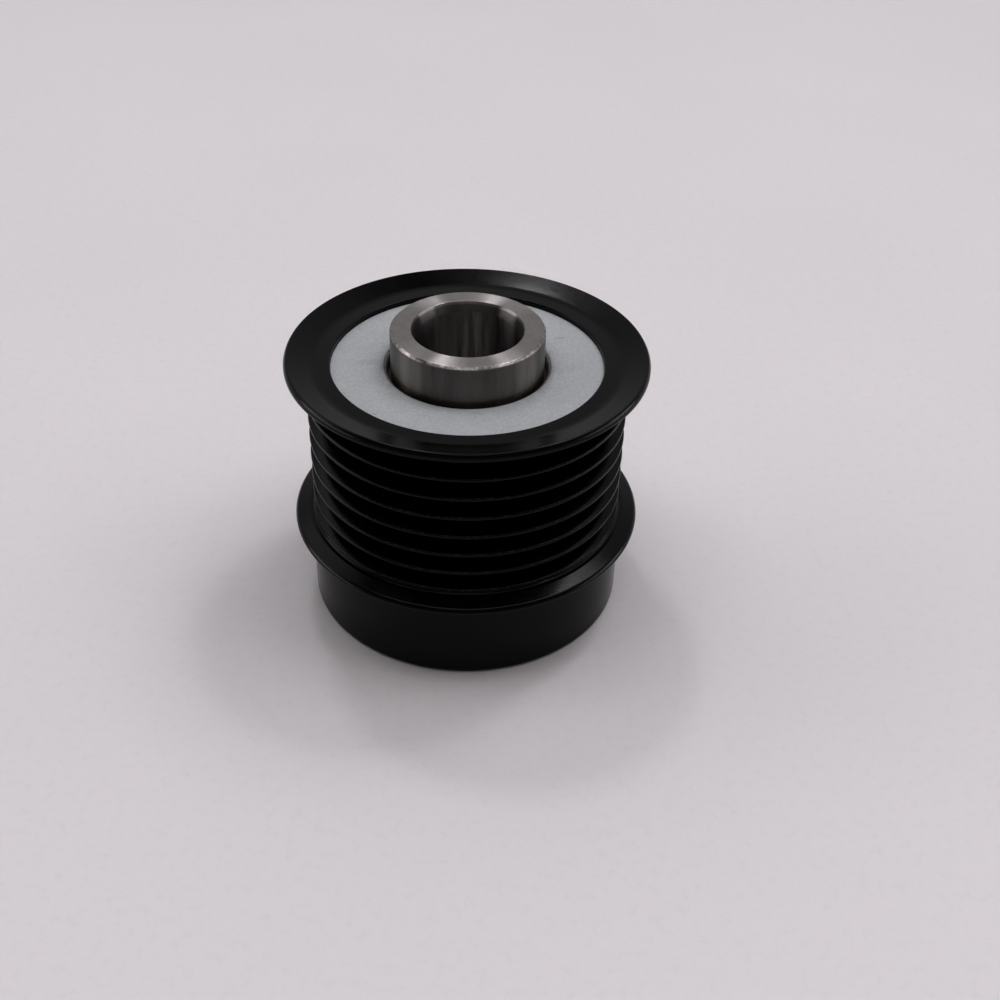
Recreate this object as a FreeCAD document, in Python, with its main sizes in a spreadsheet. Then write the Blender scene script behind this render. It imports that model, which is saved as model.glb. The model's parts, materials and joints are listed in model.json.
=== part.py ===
import FreeCAD, Part
import math
import os
import Sketcher

# Overrunning pulley for an alternator, standing on the rim of its plain skirt.
# The axis is Z, the skirt rim is z = 0, and the shaft end of the hub is up.
# All lengths are millimetres.

os.makedirs("parts", exist_ok=True)
doc = FreeCAD.newDocument("alternator_pulley")
sheet = doc.addObject("Spreadsheet::Sheet", "sizes")
sheet.Label = "sizes"


class Size:
    """A length that keeps its number and the expression it comes from."""

    def __init__(self, text, number):
        self.text = text
        self.number = number

    def __add__(self, other):
        other = plain(other)
        return Size("(%s + %s)" % (self.text, other.text), self.number + other.number)

    def __sub__(self, other):
        other = plain(other)
        return Size("(%s - %s)" % (self.text, other.text), self.number - other.number)

    def __mul__(self, other):
        other = plain(other)
        return Size("(%s * %s)" % (self.text, other.text), self.number * other.number)

    def __truediv__(self, other):
        other = plain(other)
        return Size("(%s / %s)" % (self.text, other.text), self.number / other.number)

    def __neg__(self):
        return Size("(0 - %s)" % self.text, -self.number)


def plain(value):
    if isinstance(value, Size):
        return value
    return Size("%.6g" % value, float(value))


def sine(angle):
    angle = plain(angle)
    return Size("sin(%s)" % angle.text, math.sin(math.radians(angle.number)))


def cosine(angle):
    angle = plain(angle)
    return Size("cos(%s)" % angle.text, math.cos(math.radians(angle.number)))


def tangent(angle):
    angle = plain(angle)
    return Size("tan(%s)" % angle.text, math.tan(math.radians(angle.number)))


row = 0


def size(alias, number, note):
    """One driving dimension: a row of the sheet with its note, number and alias."""
    global row
    row += 1
    sheet.set("A%d" % row, note)
    sheet.set("B%d" % row, "%g" % number)
    sheet.setAlias("B%d" % row, alias)
    return Size("sizes." + alias, float(number))


# Radii, from the bearing seat on the hub outwards
seat_r = size("seat_r", 12.5, "radius of the hub where the bearings sit")
brg_h = size("brg_h", 6, "radial height of a ball bearing")
race_r = seat_r + brg_h
rib_wall = size("rib_wall", 7.45, "wall from the main bore to the rib crests")
rib_r = race_r + rib_wall
flange_h = size("flange_h", 3.25, "height of both belt flanges over the ribs")
flange_r = rib_r + flange_h
skirt_wall = size("skirt_wall", 8, "wall of the plain skirt, from the main bore")
skirt_r = race_r + skirt_wall
skirt_edge = size("skirt_edge", 0.5, "bevel of the skirt rim")
rim_edge = size("rim_edge", 0.25, "bevel of the lower flange edges")
top_edge = size("top_edge", 0.32, "bevel of the top flange edges")
root_edge = size("root_edge", 0.25, "blend at the foot of both flanges")
low_ledge_w = size("low_ledge_w", 0.75, "width of the ledge under the last rib")
low_ledge_r = rib_r + low_ledge_w
top_root_w = size("top_root_w", 0.4, "width of the ledge over the first rib")
top_root_r = rib_r + top_root_w

# Belt grooves
rib_pitch = size("rib_pitch", 3.56, "pitch of the belt grooves")
groove_count = size("groove_count", 7, "number of belt grooves")
groove_half = size("groove_half", 20, "half of the groove angle, degrees")
crest_flat = size("crest_flat", 0.53, "width of a rib crest")
floor_flat = size("floor_flat", 0.5, "width of the flat part of a groove floor")
floor_blend = size("floor_blend", 0.2, "blend beside the groove floor")

# Heights of the belt ring, from the skirt rim upwards
skirt_len = size("skirt_len", 14.83, "length of the skirt below the lower flange edge")
low_back = size("low_back", 1.3, "fall of the lower flange back towards the skirt")
low_rim_w = size("low_rim_w", 1.02, "width of the lower flange edge")
low_cone_w = size("low_cone_w", 0.77, "rise of the lower flange cone to its foot")
low_land = size("low_land", 2.12, "height of the lowest groove centre over the flange foot")
top_land = size("top_land", 1.85, "height of the top flange foot over the first groove centre")
top_under_w = size("top_under_w", 1.76, "rise of the top flange underside")
top_rim_w = size("top_rim_w", 1.49, "width of the top flange edge")
dish_h = size("dish_h", 1.38, "depth of the dished top below the flange edge")
low_rim_under = skirt_len
low_rim_top = low_rim_under + low_rim_w
low_ledge_z = low_rim_top + low_cone_w
low_groove_z = low_ledge_z + low_land
top_root_z = low_groove_z + rib_pitch * (groove_count - 1) + top_land
top_rim_under = top_root_z + top_under_w
top_rim_top = top_rim_under + top_rim_w
lip_z = top_rim_top - dish_h

# Seats inside the belt ring
cover_step = size("cover_step", 3.45, "cover seat over the main bore, radial")
cover_r = race_r + cover_step
lip_edge = size("lip_edge", 0.15, "bevel inside the lip")
lip_w = size("lip_w", 2.4, "width of the flat lip")
lip_flat_r = cover_r + lip_w
dish_blend_w = size("dish_blend_w", 0.75, "width of each half of the dish blend")
dish_mid_r = lip_flat_r + dish_blend_w
dish_top_r = dish_mid_r + dish_blend_w
dish_blend_h = size("dish_blend_h", 0.38, "rise of the dish blend")
dish_mid_z = lip_z + dish_blend_h * 0.29
dish_top_z = lip_z + dish_blend_h
cover_sink = size("cover_sink", 1.82, "depth of the cover seat below the lip")
cover_floor_z = lip_z - cover_sink
seal_step = size("seal_step", 1.5, "seal seat over the main bore, radial")
seal_r = race_r + seal_step
seal_w = size("seal_w", 2.6, "depth of the seal seat")
seal_floor_z = cover_floor_z - seal_w
stop_w = size("stop_w", 0.8, "thickness of the bearing stop")
stop_h = size("stop_h", 1.3, "reach of the bearing stop into the bore")
stop_r = race_r - stop_h
stack_top_z = seal_floor_z - stop_w
cap_depth = size("cap_depth", 3.4, "depth of the front cap seat")
cap_floor_z = cap_depth
cap_step = size("cap_step", 3, "cap seat over the main bore, radial")
cap_r = race_r + cap_step
cap_catch = size("cap_catch", 0.4, "depth of the catch groove in the cap seat")
cap_catch_w = cap_depth * 0.18
lead_in = size("lead_in", 0.5, "bevel at the front of the main bore")
front_land = size("front_land", 3.2, "length of the main bore in front of the stack")
stack_z = cap_depth + front_land

# Ball bearings
brg_w = size("brg_w", 7, "width of a ball bearing")
clutch_w = stack_top_z - stack_z - brg_w * 2
ring_wall = size("ring_wall", 1.7, "wall of the bearing rings at their lands")
inner_land_r = seat_r + ring_wall
outer_land_r = race_r - ring_wall
brg_edge = size("brg_edge", 0.3, "bevel of the bearing rings")
ball_r = size("ball_r", 1.75, "radius of a bearing ball")
ball_pitch_r = seat_r + brg_h / 2
ball_count = size("ball_count", 14, "balls in one bearing")
track_over = size("track_over", 0.05, "radius of the ball tracks over the balls")
track_r = ball_r + track_over
track_gap = size("track_gap", 0.02, "play between a ball and its track floor")
cage_half = size("cage_half", 0.75, "half of the wall of a ball cage")
cage_in_r = ball_pitch_r - cage_half
cage_out_r = ball_pitch_r + cage_half
cage_wall = size("cage_wall", 0.25, "wall of a ball cage behind its pockets")
ball_play = size("ball_play", 0.05, "play between a ball and its cage pocket")
cage_back = ball_r + ball_play + cage_wall
cage_mouth = ball_r / 2
shield_seat = size("shield_seat", 0.5, "depth of the seal seat in a bearing outer ring, radial")
shield_step_r = outer_land_r + shield_seat
shield_in = brg_w * 0.04
shield_w = brg_w * 0.1
shield_gap = size("shield_gap", 0.08, "play between a bearing seal and the inner ring")

# Roller clutch
cup_wall = size("cup_wall", 1.4, "wall of the clutch outer ring")
cup_in_r = race_r - cup_wall
roller_r = size("roller_r", 1.6, "radius of a clutch roller")
roller_slack = size("roller_slack", 0.15, "play of a roller over the middle of its cam flat")
flat_x = cup_in_r - roller_r * 2 - roller_slack
roller_count = size("roller_count", 10, "rollers, springs, windows and cam flats")
roller_lead = size("roller_lead", 5, "angle of a free roller from its flat centre, degrees")
roller_gap = size("roller_gap", 0.05, "play between a free roller and the outer ring")
washer_w = size("washer_w", 0.8, "thickness of a clutch side washer")
washer_gap = size("washer_gap", 0.15, "play beside a clutch washer")
washer_in_gap = size("washer_in_gap", 0.05, "play between a washer and the cam ring")
washer_out_gap = size("washer_out_gap", 0.2, "play between a washer and the outer ring")
guide_gap = size("guide_gap", 0.15, "play between the clutch cage and the outer ring")
guide_in_gap = size("guide_in_gap", 0.25, "play between the clutch cage and the cam ring")
guide_side_gap = size("guide_side_gap", 0.1, "play between the clutch cage and a washer")
guide_band = size("guide_band", 1.75, "width of the end bands of the clutch cage")
window_gap = size("window_gap", 0.2, "play beside a roller in its window")
spring_t = size("spring_t", 0.3, "thickness of the spring strip")
spring_step = size("spring_step", 1.4, "spacing of the spring folds")
spring_gap = size("spring_gap", 0.1, "play at both ends of a spring")
spring_side = size("spring_side", 2.7, "height of a window beside the spring strip")

# Snap rings
ring_groove_h = size("ring_groove_h", 0.9, "depth of the snap ring groove in the bore")
ring_groove_r = race_r + ring_groove_h
ring_w = size("ring_w", 1.5, "thickness of the bore snap ring")
ring_side_gap = size("ring_side_gap", 0.1, "play of both snap rings in their grooves, axial")
ring_groove_w = ring_w + ring_side_gap
ring_wide = size("ring_wide", 3.0, "radial width of the bore snap ring")
ring_seat_gap = size("ring_seat_gap", 0.1, "play of the bore snap ring in its groove, radial")
ring_in_r = ring_groove_r - ring_seat_gap - ring_wide
ring_mouth = size("ring_mouth", 34, "opening of the bore snap ring, degrees")
ring_turn = plain(360) - ring_mouth
lug_r = size("lug_r", 1.5, "radius of a snap ring lug")
lug_x = ring_in_r + lug_r * 0.133
lug_hole_r = lug_r / 2
hub_ring_w = size("hub_ring_w", 1.2, "thickness of the hub snap ring")
hub_ring_wide = size("hub_ring_wide", 2.05, "radial width of the hub snap ring")
hub_ring_mouth = size("hub_ring_mouth", 24, "opening of the hub snap ring, degrees")
hub_ring_turn = plain(360) - hub_ring_mouth
hub_groove_h = size("hub_groove_h", 0.55, "depth of the groove in the hub")
hub_groove_r = seat_r - hub_groove_h
hub_groove_w = hub_ring_w + ring_side_gap
hub_ring_out_r = hub_groove_r + hub_ring_wide

# Hub
hub_nose = size("hub_nose", 2.1, "length of the hub in front of the stack")
hub_front_z = stack_z - hub_nose
hub_front_step = size("hub_front_step", 0.1, "hub front end under the bearing seat, radial")
hub_front_r = seat_r - hub_front_step
hub_front_edge = size("hub_front_edge", 0.4, "bevel of the front end of the hub")
hub_stop_h = size("hub_stop_h", 1.2, "height of the hub shoulder under the seal")
hub_stop_r = seat_r + hub_stop_h
hub_stop_w = size("hub_stop_w", 2.3, "length of the hub shoulder")
hub_stop_edge = size("hub_stop_edge", 0.3, "bevel of the hub shoulder")
sleeve_step = size("sleeve_step", 0.17, "hub sleeve under the bearing seat, radial")
hub_r = seat_r - sleeve_step
cover_w = size("cover_w", 1.0, "thickness of the cover")
cover_top_z = cover_floor_z + cover_w
hub_reach = size("hub_reach", 6.3, "height of the hub sleeve over the cover")
hub_top_z = cover_top_z + hub_reach
hub_edge = size("hub_edge", 0.35, "outer bevel of the shaft end")
pilot_wall = size("pilot_wall", 4, "wall from the plain bore to the bearing seat")
pilot_r = seat_r - pilot_wall
mouth_step = size("mouth_step", 0.5, "bore mouth over the plain bore, radial")
mouth_r = pilot_r + mouth_step
mouth_len = size("mouth_len", 1.7, "length of the lead-in of the bore")
pilot_len = size("pilot_len", 17.3, "depth of the plain bore below the shaft end")
thread_step = size("thread_step", 1.31, "thread core under the plain bore, radial")
thread_r = pilot_r - thread_step
thread_lead = size("thread_lead", 1.0, "length of the cone above the thread")
tool_depth = size("tool_depth", 10, "depth of the tool recess")
tool_floor_z = hub_front_z + tool_depth
tool_cone = size("tool_cone", 0.8, "length of the cone below the thread")
thread_z = tool_floor_z + tool_cone
tool_wall = size("tool_wall", 2, "wall from the tooth gaps to the hub groove")
tool_tip_r = hub_groove_r - tool_wall
tooth_h = size("tooth_h", 0.75, "height of the teeth of the tool recess")
tool_r = tool_tip_r - tooth_h
tool_half = size("tool_half", 0.72, "half of the width of a tooth gap at its mouth")
tool_count = size("tool_count", 33, "teeth of the tool recess")
tool_run = size("tool_run", 0.8, "plain depth behind the tooth gaps")
tool_len = tool_depth - tool_run
tool_bevel = size("tool_bevel", 0.9, "bevel at the mouth of the tool recess")

# Cover and seal
hub_gap = size("hub_gap", 0.62, "gap between the cover and the hub sleeve")
cover_hole_r = hub_r + hub_gap
cover_bend_w = size("cover_bend_w", 1.15, "width of the curled inner edge of the cover")
cover_bend_r = cover_hole_r + cover_bend_w
cover_curl = size("cover_curl", 1.6, "height of the curled inner edge")
case_w = size("case_w", 0.6, "sheet thickness of the seal case")
case_gap = size("case_gap", 0.1, "play between the seal case and the cover")
lip_gap = size("lip_gap", 0.05, "play between the seal lip and the hub")
lip_r = hub_stop_r + lip_gap
lip_span = size("lip_span", 1.85, "radial width of the seal lip")
case_in_r = lip_r + lip_span
lip_reach = size("lip_reach", 2.0, "length of the seal lip along the hub")

doc.recompute()


def plane(body, role):
    """The origin plane or axis of a body, by its role."""
    for feature in body.Origin.OriginFeatures:
        if feature.Role == role:
            return feature
    raise RuntimeError("no " + role)


def new_body(label):
    body = doc.addObject("PartDesign::Body", label)
    body.Label = label
    return body


def new_sketch(body, name, role, lift=None):
    sketch = body.newObject("Sketcher::SketchObject", name)
    sketch.AttachmentSupport = [(plane(body, role), "")]
    sketch.MapMode = "FlatFace"
    if lift is not None:
        sketch.setExpression("AttachmentOffset.Base.z", lift.text)
    return sketch


def pin(sketch, pins):
    """Hold points of a sketch at bound distances from its origin."""
    rules = []
    bound = []
    for geometry, end, x, y in pins:
        for kind, axis, value in (("DistanceX", -2, plain(x)), ("DistanceY", -1, plain(y))):
            if value.number == 0:
                rules.append(Sketcher.Constraint("PointOnObject", geometry, end, axis))
                bound.append(None)
            else:
                rules.append(Sketcher.Constraint(kind, -1, 1, geometry, end, value.number))
                bound.append(value.text)
    first = sketch.ConstraintCount
    sketch.addConstraint(rules)
    for index, text in enumerate(bound):
        if text is not None:
            sketch.setExpression("Constraints[%d]" % (first + index), text)


def outline(sketch, points):
    """A closed outline of straight lines, with each corner held by its own sizes."""
    corners = [(plain(x), plain(y)) for x, y in points]
    count = len(corners)
    lines = []
    for index in range(count):
        x0, y0 = corners[index]
        x1, y1 = corners[(index + 1) % count]
        start = FreeCAD.Vector(x0.number, y0.number, 0)
        finish = FreeCAD.Vector(x1.number, y1.number, 0)
        lines.append(Part.LineSegment(start, finish))
    sketch.addGeometry(lines, False)
    joins = []
    for index in range(count):
        joins.append(Sketcher.Constraint("Coincident", index, 2, (index + 1) % count, 1))
    sketch.addConstraint(joins)
    pin(sketch, [(index, 1, corners[index][0], corners[index][1]) for index in range(count)])


def turned(label, points, sweep=None):
    """A piece turned from a section in the plane of the axis."""
    body = new_body(label)
    section = new_sketch(body, label + "_section", "XZ_Plane")
    outline(section, points)
    turn = body.newObject("PartDesign::Revolution", label + "_turn")
    turn.Profile = section
    turn.ReferenceAxis = (section, ["V_Axis"])
    turn.Angle = 360
    if sweep is not None:
        turn.Midplane = True
        turn.setExpression("Angle", sweep.text)
    section.Visibility = False
    body.Tip = turn
    doc.recompute()
    return body


def smaller(body, before, name):
    """A cut that removes nothing points the wrong way."""
    if body.Shape.Volume >= before - 1e-6:
        raise RuntimeError(name + " cuts nothing")


def track(body, name, x, z, radius):
    """A round groove turned into a ring."""
    before = body.Shape.Volume
    section = new_sketch(body, name + "_section", "XZ_Plane")
    centre = FreeCAD.Vector(x.number, z.number, 0)
    section.addGeometry(Part.Circle(centre, FreeCAD.Vector(0, 0, 1), radius.number), False)
    pin(section, [(0, 3, x, z)])
    index = section.addConstraint(Sketcher.Constraint("Radius", 0, radius.number))
    section.setExpression("Constraints[%d]" % index, radius.text)
    groove = body.newObject("PartDesign::Groove", name)
    groove.Profile = section
    groove.ReferenceAxis = (section, ["V_Axis"])
    groove.Angle = 360
    section.Visibility = False
    body.Tip = groove
    doc.recompute()
    smaller(body, before, name)


def upward_cut(body, name, points, lift, length):
    """A straight cut through a body, from the height lift upwards."""
    before = body.Shape.Volume
    section = new_sketch(body, name + "_section", "XY_Plane", lift)
    outline(section, points)
    pocket = body.newObject("PartDesign::Pocket", name)
    pocket.Profile = section
    pocket.Type = 0
    pocket.Reversed = True
    pocket.setExpression("Length", length.text)
    section.Visibility = False
    body.Tip = pocket
    doc.recompute()
    smaller(body, before, name)
    return pocket


def around(body, name, feature, count):
    """The same feature repeated round the axis."""
    pattern = body.newObject("PartDesign::PolarPattern", name)
    pattern.Originals = [feature]
    pattern.Axis = (plane(body, "Z_Axis"), [""])
    pattern.Angle = 360
    pattern.setExpression("Occurrences", count.text)
    body.Tip = pattern
    doc.recompute()
    return pattern


def around_compound(label, members):
    group = doc.addObject("Part::Compound", label)
    group.Label = label
    group.Links = members
    for member in members:
        member.Visibility = False
    doc.recompute()
    return group


nodes = []

# Belt ring: one turned piece with both flanges, the skirt and all the seats.
groove_reach = (rib_pitch - crest_flat) / 2
groove_depth = (groove_reach - floor_flat / 2 - floor_blend) / tangent(groove_half)
groove_floor_r = rib_r - groove_depth - floor_blend / 2
ring_groove_z = stack_z - ring_groove_w

pulley = turned("pulley", [
    (skirt_r - skirt_edge, 0),
    (skirt_r, skirt_edge),
    (skirt_r, low_rim_under - low_back),
    (flange_r - rim_edge, low_rim_under),
    (flange_r, low_rim_under + rim_edge),
    (flange_r, low_rim_top - rim_edge),
    (flange_r - rim_edge, low_rim_top),
    (low_ledge_r, low_ledge_z),
    (rib_r + root_edge, low_ledge_z),
    (rib_r, low_ledge_z + root_edge),
    (rib_r, top_root_z - root_edge),
    (top_root_r, top_root_z),
    (flange_r - top_edge, top_rim_under),
    (flange_r, top_rim_under + top_edge),
    (flange_r, top_rim_top - top_edge),
    (flange_r - top_edge, top_rim_top),
    (dish_top_r, dish_top_z),
    (dish_mid_r, dish_mid_z),
    (lip_flat_r, lip_z),
    (cover_r + lip_edge, lip_z),
    (cover_r, lip_z - lip_edge),
    (cover_r, cover_floor_z),
    (seal_r, cover_floor_z),
    (seal_r, seal_floor_z),
    (stop_r, seal_floor_z),
    (stop_r, stack_top_z),
    (race_r, stack_top_z),
    (race_r, stack_z),
    (ring_groove_r, stack_z),
    (ring_groove_r, ring_groove_z),
    (race_r, ring_groove_z),
    (race_r, cap_floor_z + lead_in),
    (race_r + lead_in, cap_floor_z),
    (cap_r + cap_catch, cap_floor_z),
    (cap_r + cap_catch, cap_floor_z - cap_catch_w),
    (cap_r, cap_floor_z - cap_catch_w * 1.65),
    (cap_r, skirt_edge),
    (cap_r + skirt_edge, 0),
])
before = pulley.Shape.Volume
vee = new_sketch(pulley, "belt_groove_section", "XZ_Plane")
over = plain(0.5)
outline(vee, [
    (groove_floor_r, low_groove_z - floor_flat / 2),
    (groove_floor_r + floor_blend / 2, low_groove_z - floor_flat / 2 - floor_blend),
    (rib_r, low_groove_z - groove_reach),
    (rib_r + over, low_groove_z - groove_reach),
    (rib_r + over, low_groove_z + groove_reach),
    (rib_r, low_groove_z + groove_reach),
    (groove_floor_r + floor_blend / 2, low_groove_z + floor_flat / 2 + floor_blend),
    (groove_floor_r, low_groove_z + floor_flat / 2),
])
belt_groove = pulley.newObject("PartDesign::Groove", "belt_groove")
belt_groove.Profile = vee
belt_groove.ReferenceAxis = (vee, ["V_Axis"])
belt_groove.Angle = 360
vee.Visibility = False
pulley.Tip = belt_groove
doc.recompute()
smaller(pulley, before, "belt_groove")
one_groove = before - pulley.Shape.Volume
belt_grooves = pulley.newObject("PartDesign::LinearPattern", "belt_grooves")
belt_grooves.Originals = [belt_groove]
belt_grooves.Direction = (plane(pulley, "Z_Axis"), [""])
belt_grooves.setExpression("Length", (rib_pitch * (groove_count - 1)).text)
belt_grooves.setExpression("Occurrences", groove_count.text)
pulley.Tip = belt_grooves
doc.recompute()
smaller(pulley, before - 6.5 * one_groove, "belt_grooves")
nodes.append(pulley)

# Hub: sleeve with the shaft bore, the thread core and the toothed tool recess.
hub_groove_z = stack_z - hub_groove_w
hub = turned("hub", [
    (hub_front_r - hub_front_edge, hub_front_z),
    (hub_front_r, hub_front_z + hub_front_edge),
    (hub_front_r, hub_groove_z),
    (hub_groove_r, hub_groove_z),
    (hub_groove_r, stack_z),
    (seat_r, stack_z),
    (seat_r, stack_top_z),
    (hub_stop_r, stack_top_z),
    (hub_stop_r, stack_top_z + hub_stop_w - hub_stop_edge),
    (hub_stop_r - hub_stop_edge, stack_top_z + hub_stop_w),
    (hub_r, stack_top_z + hub_stop_w),
    (hub_r, hub_top_z - hub_edge),
    (hub_r - hub_edge, hub_top_z),
    (mouth_r, hub_top_z),
    (pilot_r, hub_top_z - mouth_len),
    (pilot_r, hub_top_z - pilot_len),
    (thread_r, hub_top_z - pilot_len - thread_lead),
    (thread_r, thread_z),
    (thread_r + (thread_z - tool_floor_z), tool_floor_z),
    (tool_r, tool_floor_z),
    (tool_r, hub_front_z + tool_bevel),
    (tool_r + tool_bevel, hub_front_z),
])
tooth = upward_cut(hub, "tool_tooth", [
    (tool_r - tooth_h * 0.2, -tool_half),
    (tool_tip_r, -tool_half / 5),
    (tool_tip_r, tool_half / 5),
    (tool_r - tooth_h * 0.2, tool_half),
], hub_front_z, tool_len)
around(hub, "tool_teeth", tooth, tool_count)
nodes.append(hub)

# Cover: thin disc pressed into the lip, its inner edge curled down round the hub.
nodes.append(turned("rear_cover", [
    (cover_r, cover_floor_z),
    (cover_r, cover_top_z - 0.15),
    (cover_r - 0.15, cover_top_z),
    (cover_bend_r, cover_top_z),
    (cover_bend_r - cover_bend_w * 0.4, cover_top_z - cover_w * 0.09),
    (cover_hole_r + cover_bend_w * 0.22, cover_top_z - cover_w * 0.3),
    (cover_hole_r + cover_bend_w * 0.05, cover_top_z - cover_w * 0.62),
    (cover_hole_r, cover_top_z - cover_w),
    (cover_hole_r, cover_top_z - cover_curl),
    (cover_hole_r + cover_bend_w * 0.7, cover_top_z - cover_curl),
    (cover_bend_r - cover_bend_w * 0.17, cover_floor_z - (cover_curl - cover_w) * 0.4),
    (cover_bend_r + cover_bend_w * 0.17, cover_floor_z),
]))

# Rear seal: folded steel case with a rubber lip that runs on the hub shoulder.
case_top_z = cover_floor_z - case_gap
nodes.append(turned("rear_seal_case", [
    (seal_r - case_w, seal_floor_z),
    (seal_r, seal_floor_z),
    (seal_r, case_top_z),
    (case_in_r, case_top_z),
    (case_in_r, case_top_z - case_w),
    (seal_r - case_w, case_top_z - case_w),
]))
nodes.append(turned("rear_seal_lip", [
    (case_in_r, case_top_z),
    (lip_r + lip_span * 0.51, case_top_z),
    (lip_r + lip_span * 0.24, case_top_z - lip_reach * 0.35),
    (lip_r, case_top_z - lip_reach * 0.8),
    (lip_r, case_top_z - lip_reach),
    (lip_r + lip_span * 0.22, case_top_z - lip_reach),
    (lip_r + lip_span * 0.62, case_top_z - lip_reach * 0.55),
    (case_in_r, case_top_z - lip_reach * 0.45),
]))


def ball_bearing(prefix, level):
    """One deep-groove bearing. level(x) is the height x above its sealed face."""
    middle = level(brg_w / 2)
    outer = turned(prefix + "_bearing_outer_ring", [
        (race_r - brg_edge, level(0)),
        (race_r, level(brg_edge)),
        (race_r, level(brg_w - brg_edge)),
        (race_r - brg_edge, level(brg_w)),
        (outer_land_r, level(brg_w)),
        (outer_land_r, level(shield_in + shield_w)),
        (shield_step_r, level(shield_in + shield_w)),
        (shield_step_r, level(0)),
    ])
    outer_x = ball_pitch_r + ball_r + track_gap - track_r
    track(outer, prefix + "_outer_track", outer_x, middle, track_r)
    nodes.append(outer)
    inner = turned(prefix + "_bearing_inner_ring", [
        (seat_r + brg_edge, level(0)),
        (inner_land_r, level(0)),
        (inner_land_r, level(brg_w)),
        (seat_r + brg_edge, level(brg_w)),
        (seat_r, level(brg_w - brg_edge)),
        (seat_r, level(brg_edge)),
    ])
    inner_x = ball_pitch_r - ball_r - track_gap + track_r
    track(inner, prefix + "_inner_track", inner_x, middle, track_r)
    nodes.append(inner)
    balls = []
    for index in range(int(ball_count.number)):
        ball = doc.addObject("Part::Sphere", "%s_ball_%d" % (prefix, index + 1))
        angle = plain(360 * index) / ball_count
        ball.setExpression("Radius", ball_r.text)
        ball.setExpression("Placement.Base.x", (ball_pitch_r * cosine(angle)).text)
        ball.setExpression("Placement.Base.y", (ball_pitch_r * sine(angle)).text)
        ball.setExpression("Placement.Base.z", middle.text)
        balls.append(ball)
    nodes.append(around_compound(prefix + "_bearing_balls", balls))
    cage = turned(prefix + "_bearing_cage", [
        (cage_in_r, level(brg_w / 2 - cage_back)),
        (cage_out_r, level(brg_w / 2 - cage_back)),
        (cage_out_r, level(brg_w / 2 + cage_mouth)),
        (cage_in_r, level(brg_w / 2 + cage_mouth)),
    ])
    before = cage.Shape.Volume
    pocket = cage.newObject("PartDesign::SubtractiveCylinder", prefix + "_cage_pocket")
    pocket.Placement.Rotation = FreeCAD.Rotation(FreeCAD.Vector(0, 1, 0), 90)
    pocket.setExpression("Radius", (ball_r + ball_play).text)
    pocket.setExpression("Height", (cage_half * 4).text)
    pocket.setExpression("Placement.Base.x", (ball_pitch_r - cage_half * 2).text)
    pocket.setExpression("Placement.Base.z", middle.text)
    cage.Tip = pocket
    doc.recompute()
    smaller(cage, before, prefix + "_cage_pocket")
    around(cage, prefix + "_cage_pockets", pocket, ball_count)
    nodes.append(cage)
    nodes.append(turned(prefix + "_bearing_seal", [
        (inner_land_r + shield_gap, level(shield_in)),
        (shield_step_r, level(shield_in)),
        (shield_step_r, level(shield_in + shield_w)),
        (inner_land_r + shield_gap, level(shield_in + shield_w)),
    ]))


ball_bearing("front", lambda offset: stack_z + offset)
ball_bearing("rear", lambda offset: stack_top_z - offset)

# Roller clutch: cam ring on the hub, rollers with springs in a cage, outer ring.
clutch_z = stack_z + brg_w
clutch_top_z = clutch_z + clutch_w
nodes.append(turned("clutch_outer_ring", [
    (cup_in_r, clutch_z),
    (race_r - brg_edge, clutch_z),
    (race_r, clutch_z + brg_edge),
    (race_r, clutch_top_z - brg_edge),
    (race_r - brg_edge, clutch_top_z),
    (cup_in_r, clutch_top_z),
]))
cam_ring = turned("clutch_cam_ring", [
    (seat_r, clutch_z),
    (inner_land_r, clutch_z),
    (inner_land_r, clutch_top_z),
    (seat_r, clutch_top_z),
])
cam_flat = upward_cut(cam_ring, "cam_flat", [
    (flat_x, -roller_r * 2.3),
    (inner_land_r + 1, -roller_r * 2.3),
    (inner_land_r + 1, roller_r * 2.3),
    (flat_x, roller_r * 2.3),
], clutch_z, clutch_w)
around(cam_ring, "cam_flats", cam_flat, roller_count)
nodes.append(cam_ring)

washer_low_z = clutch_z + washer_gap
washer_high_z = clutch_top_z - washer_gap - washer_w
for label, height in (("clutch_front_washer", washer_low_z), ("clutch_rear_washer", washer_high_z)):
    nodes.append(turned(label, [
        (inner_land_r + washer_in_gap, height),
        (cup_in_r - washer_out_gap, height),
        (cup_in_r - washer_out_gap, height + washer_w),
        (inner_land_r + washer_in_gap, height + washer_w),
    ]))

guide_in_r = inner_land_r + guide_in_gap
guide_out_r = cup_in_r - guide_gap
guide_low_z = washer_low_z + washer_w + guide_side_gap
guide_high_z = washer_high_z - guide_side_gap
guide = turned("clutch_cage", [
    (guide_in_r, guide_low_z),
    (guide_out_r, guide_low_z),
    (guide_out_r, guide_high_z),
    (guide_in_r, guide_high_z),
])
window_z = guide_low_z + guide_band
window_len = guide_high_z - guide_band - window_z
roller_path_r = cup_in_r - roller_gap - roller_r
roller_y = roller_path_r * sine(roller_lead)
window_front = roller_y + roller_r + window_gap
spring_out_y = roller_y - roller_r - spring_gap
spring_foot_y = spring_out_y - spring_step * 2 - spring_t
window_back = spring_foot_y - spring_gap
window = upward_cut(guide, "cage_window", [
    (guide_in_r - 1, window_back),
    (guide_out_r + 1, window_back),
    (guide_out_r + 1, window_front),
    (guide_in_r - 1, window_front),
], window_z, window_len)
around(guide, "cage_windows", window, roller_count)
nodes.append(guide)

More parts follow.
